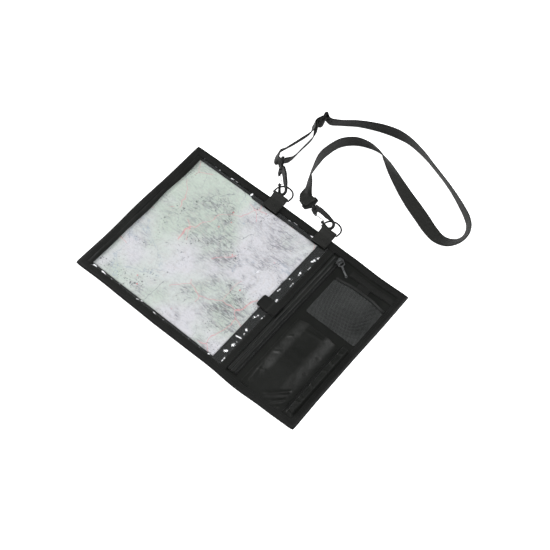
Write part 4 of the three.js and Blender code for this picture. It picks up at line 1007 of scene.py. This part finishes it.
glide_place = Vector((-0.2145 * case_length, far_edge + 0.668 * strap_reach, 0))
glide_thick, glide_bar, glide_middle, glide_slot, glide_lean = 2.4, 2.2, 2.4, 6.4, 0.22
glide_web_height = (strap_width + 0.6 + 5.0) / 2
glide_frame = (Matrix.Translation(glide_place + up * (0.15 + glide_thick / 2 * glide_lean))
               @ Matrix.Rotation(atan2(glide_lean, sqrt(1 - glide_lean ** 2)), 4, "Y"))


def glide_station(across, along):
    return (glide_frame @ Vector((across, along, glide_web_height)), glide_frame.to_3x3() @ up, strap_width)


under_bar = -(glide_thick / 2 + 0.3 + web_thick * 0.95)
eye_inner = hypot(glide_thick / 2, glide_middle / 2) + 0.3
eye_outer = eye_inner + web_thick
over_bar = eye_outer + 0.3 + web_thick * 0.6
bar_middle = glide_middle / 2 + glide_slot + glide_bar / 2
through_glide = [glide_station(*place) for place in (
    (under_bar, -bar_middle), (under_bar * 0.72, -bar_middle + glide_slot * 0.37),
    (over_bar * 0.2, -bar_middle + glide_slot * 0.6), (over_bar * 0.85, -bar_middle + glide_slot * 0.9),
    (over_bar, 0), (over_bar * 0.85, bar_middle - glide_slot * 0.9), (over_bar * 0.2, bar_middle - glide_slot * 0.6),
    (under_bar * 0.72, bar_middle - glide_slot * 0.37), (under_bar, bar_middle),
    (under_bar * 0.5, bar_middle + glide_bar * 1.5))]
wrap_radius = 3.6 / 2 + 0.3 + web_thick / 2
slot_width, bar_back, head_bar, head_slot = 20.2, -50.0, 3.0, 3.8
slot_middle = bar_back + head_bar / 2 + head_slot / 2
slot_turn = wrap_radius * 0.55


def head_station(side, along, out):
    turn = hook_frame(side, hook_rows[side][4])
    return turn @ Vector((along, 0, out)), turn.to_3x3() @ Vector((0, 1, 0)), slot_width


through_head = [head_station("left", *place) for place in (
    (bar_back + head_bar * 0.25, wrap_radius * 1.45), (slot_middle + 0.1, slot_turn),
    (slot_middle + 0.1, -slot_turn), (bar_back + head_bar * 0.25, -wrap_radius * 1.45))]
onto_head = [head_station("right", *place) for place in (
    (bar_back - 7, wrap_radius * 0.9), (bar_back, wrap_radius * 1.09))]
under_head = [head_station("right", *place) for place in (
    (bar_back, wrap_radius * 1.09), (slot_middle - head_slot * 0.32, wrap_radius * 1.05),
    (slot_middle + 0.1, slot_turn), (slot_middle + 0.15, 0), (slot_middle + 0.1, -slot_turn),
    (slot_middle - head_slot * 0.32, -wrap_radius * 1.05), (bar_back, -wrap_radius * 1.09),
    (bar_back - 5, -wrap_radius * 0.75), (bar_back - 11, -wrap_radius * 0.05))]
eye_middle = (eye_inner + eye_outer) / 2
from_eye = [glide_station(*place) for place in (
    (-eye_middle, 0), (-eye_middle - web_thick * 0.9, -eye_outer * 1.2),
    (under_bar - web_thick - 0.6, -bar_middle + 1), (under_bar - web_thick - 0.6, -bar_middle - glide_bar))]
eye_ring = [glide_station(-eye_middle * cos(angle), eye_middle * sin(angle))
            for angle in (radians(-10 + 24 * i) for i in range(15))]
long_run = (from_eye + standing_stations(left_run) + through_head + standing_stations(right_run)
            + through_glide + standing_stations(outer_run) + onto_head)
tape_piece("strap_web", long_run, 7, web_thick * 0.96, charcoal_web, stands_for=["strap"])
tape_piece("strap_fold", under_head, 5, web_thick * 0.94, charcoal_web)
tape_piece("strap_eye", eye_ring, 3, web_thick * 0.9, charcoal_web)
moulded_piece("strap_adjuster", "strap_slider", 0.4 * mm)
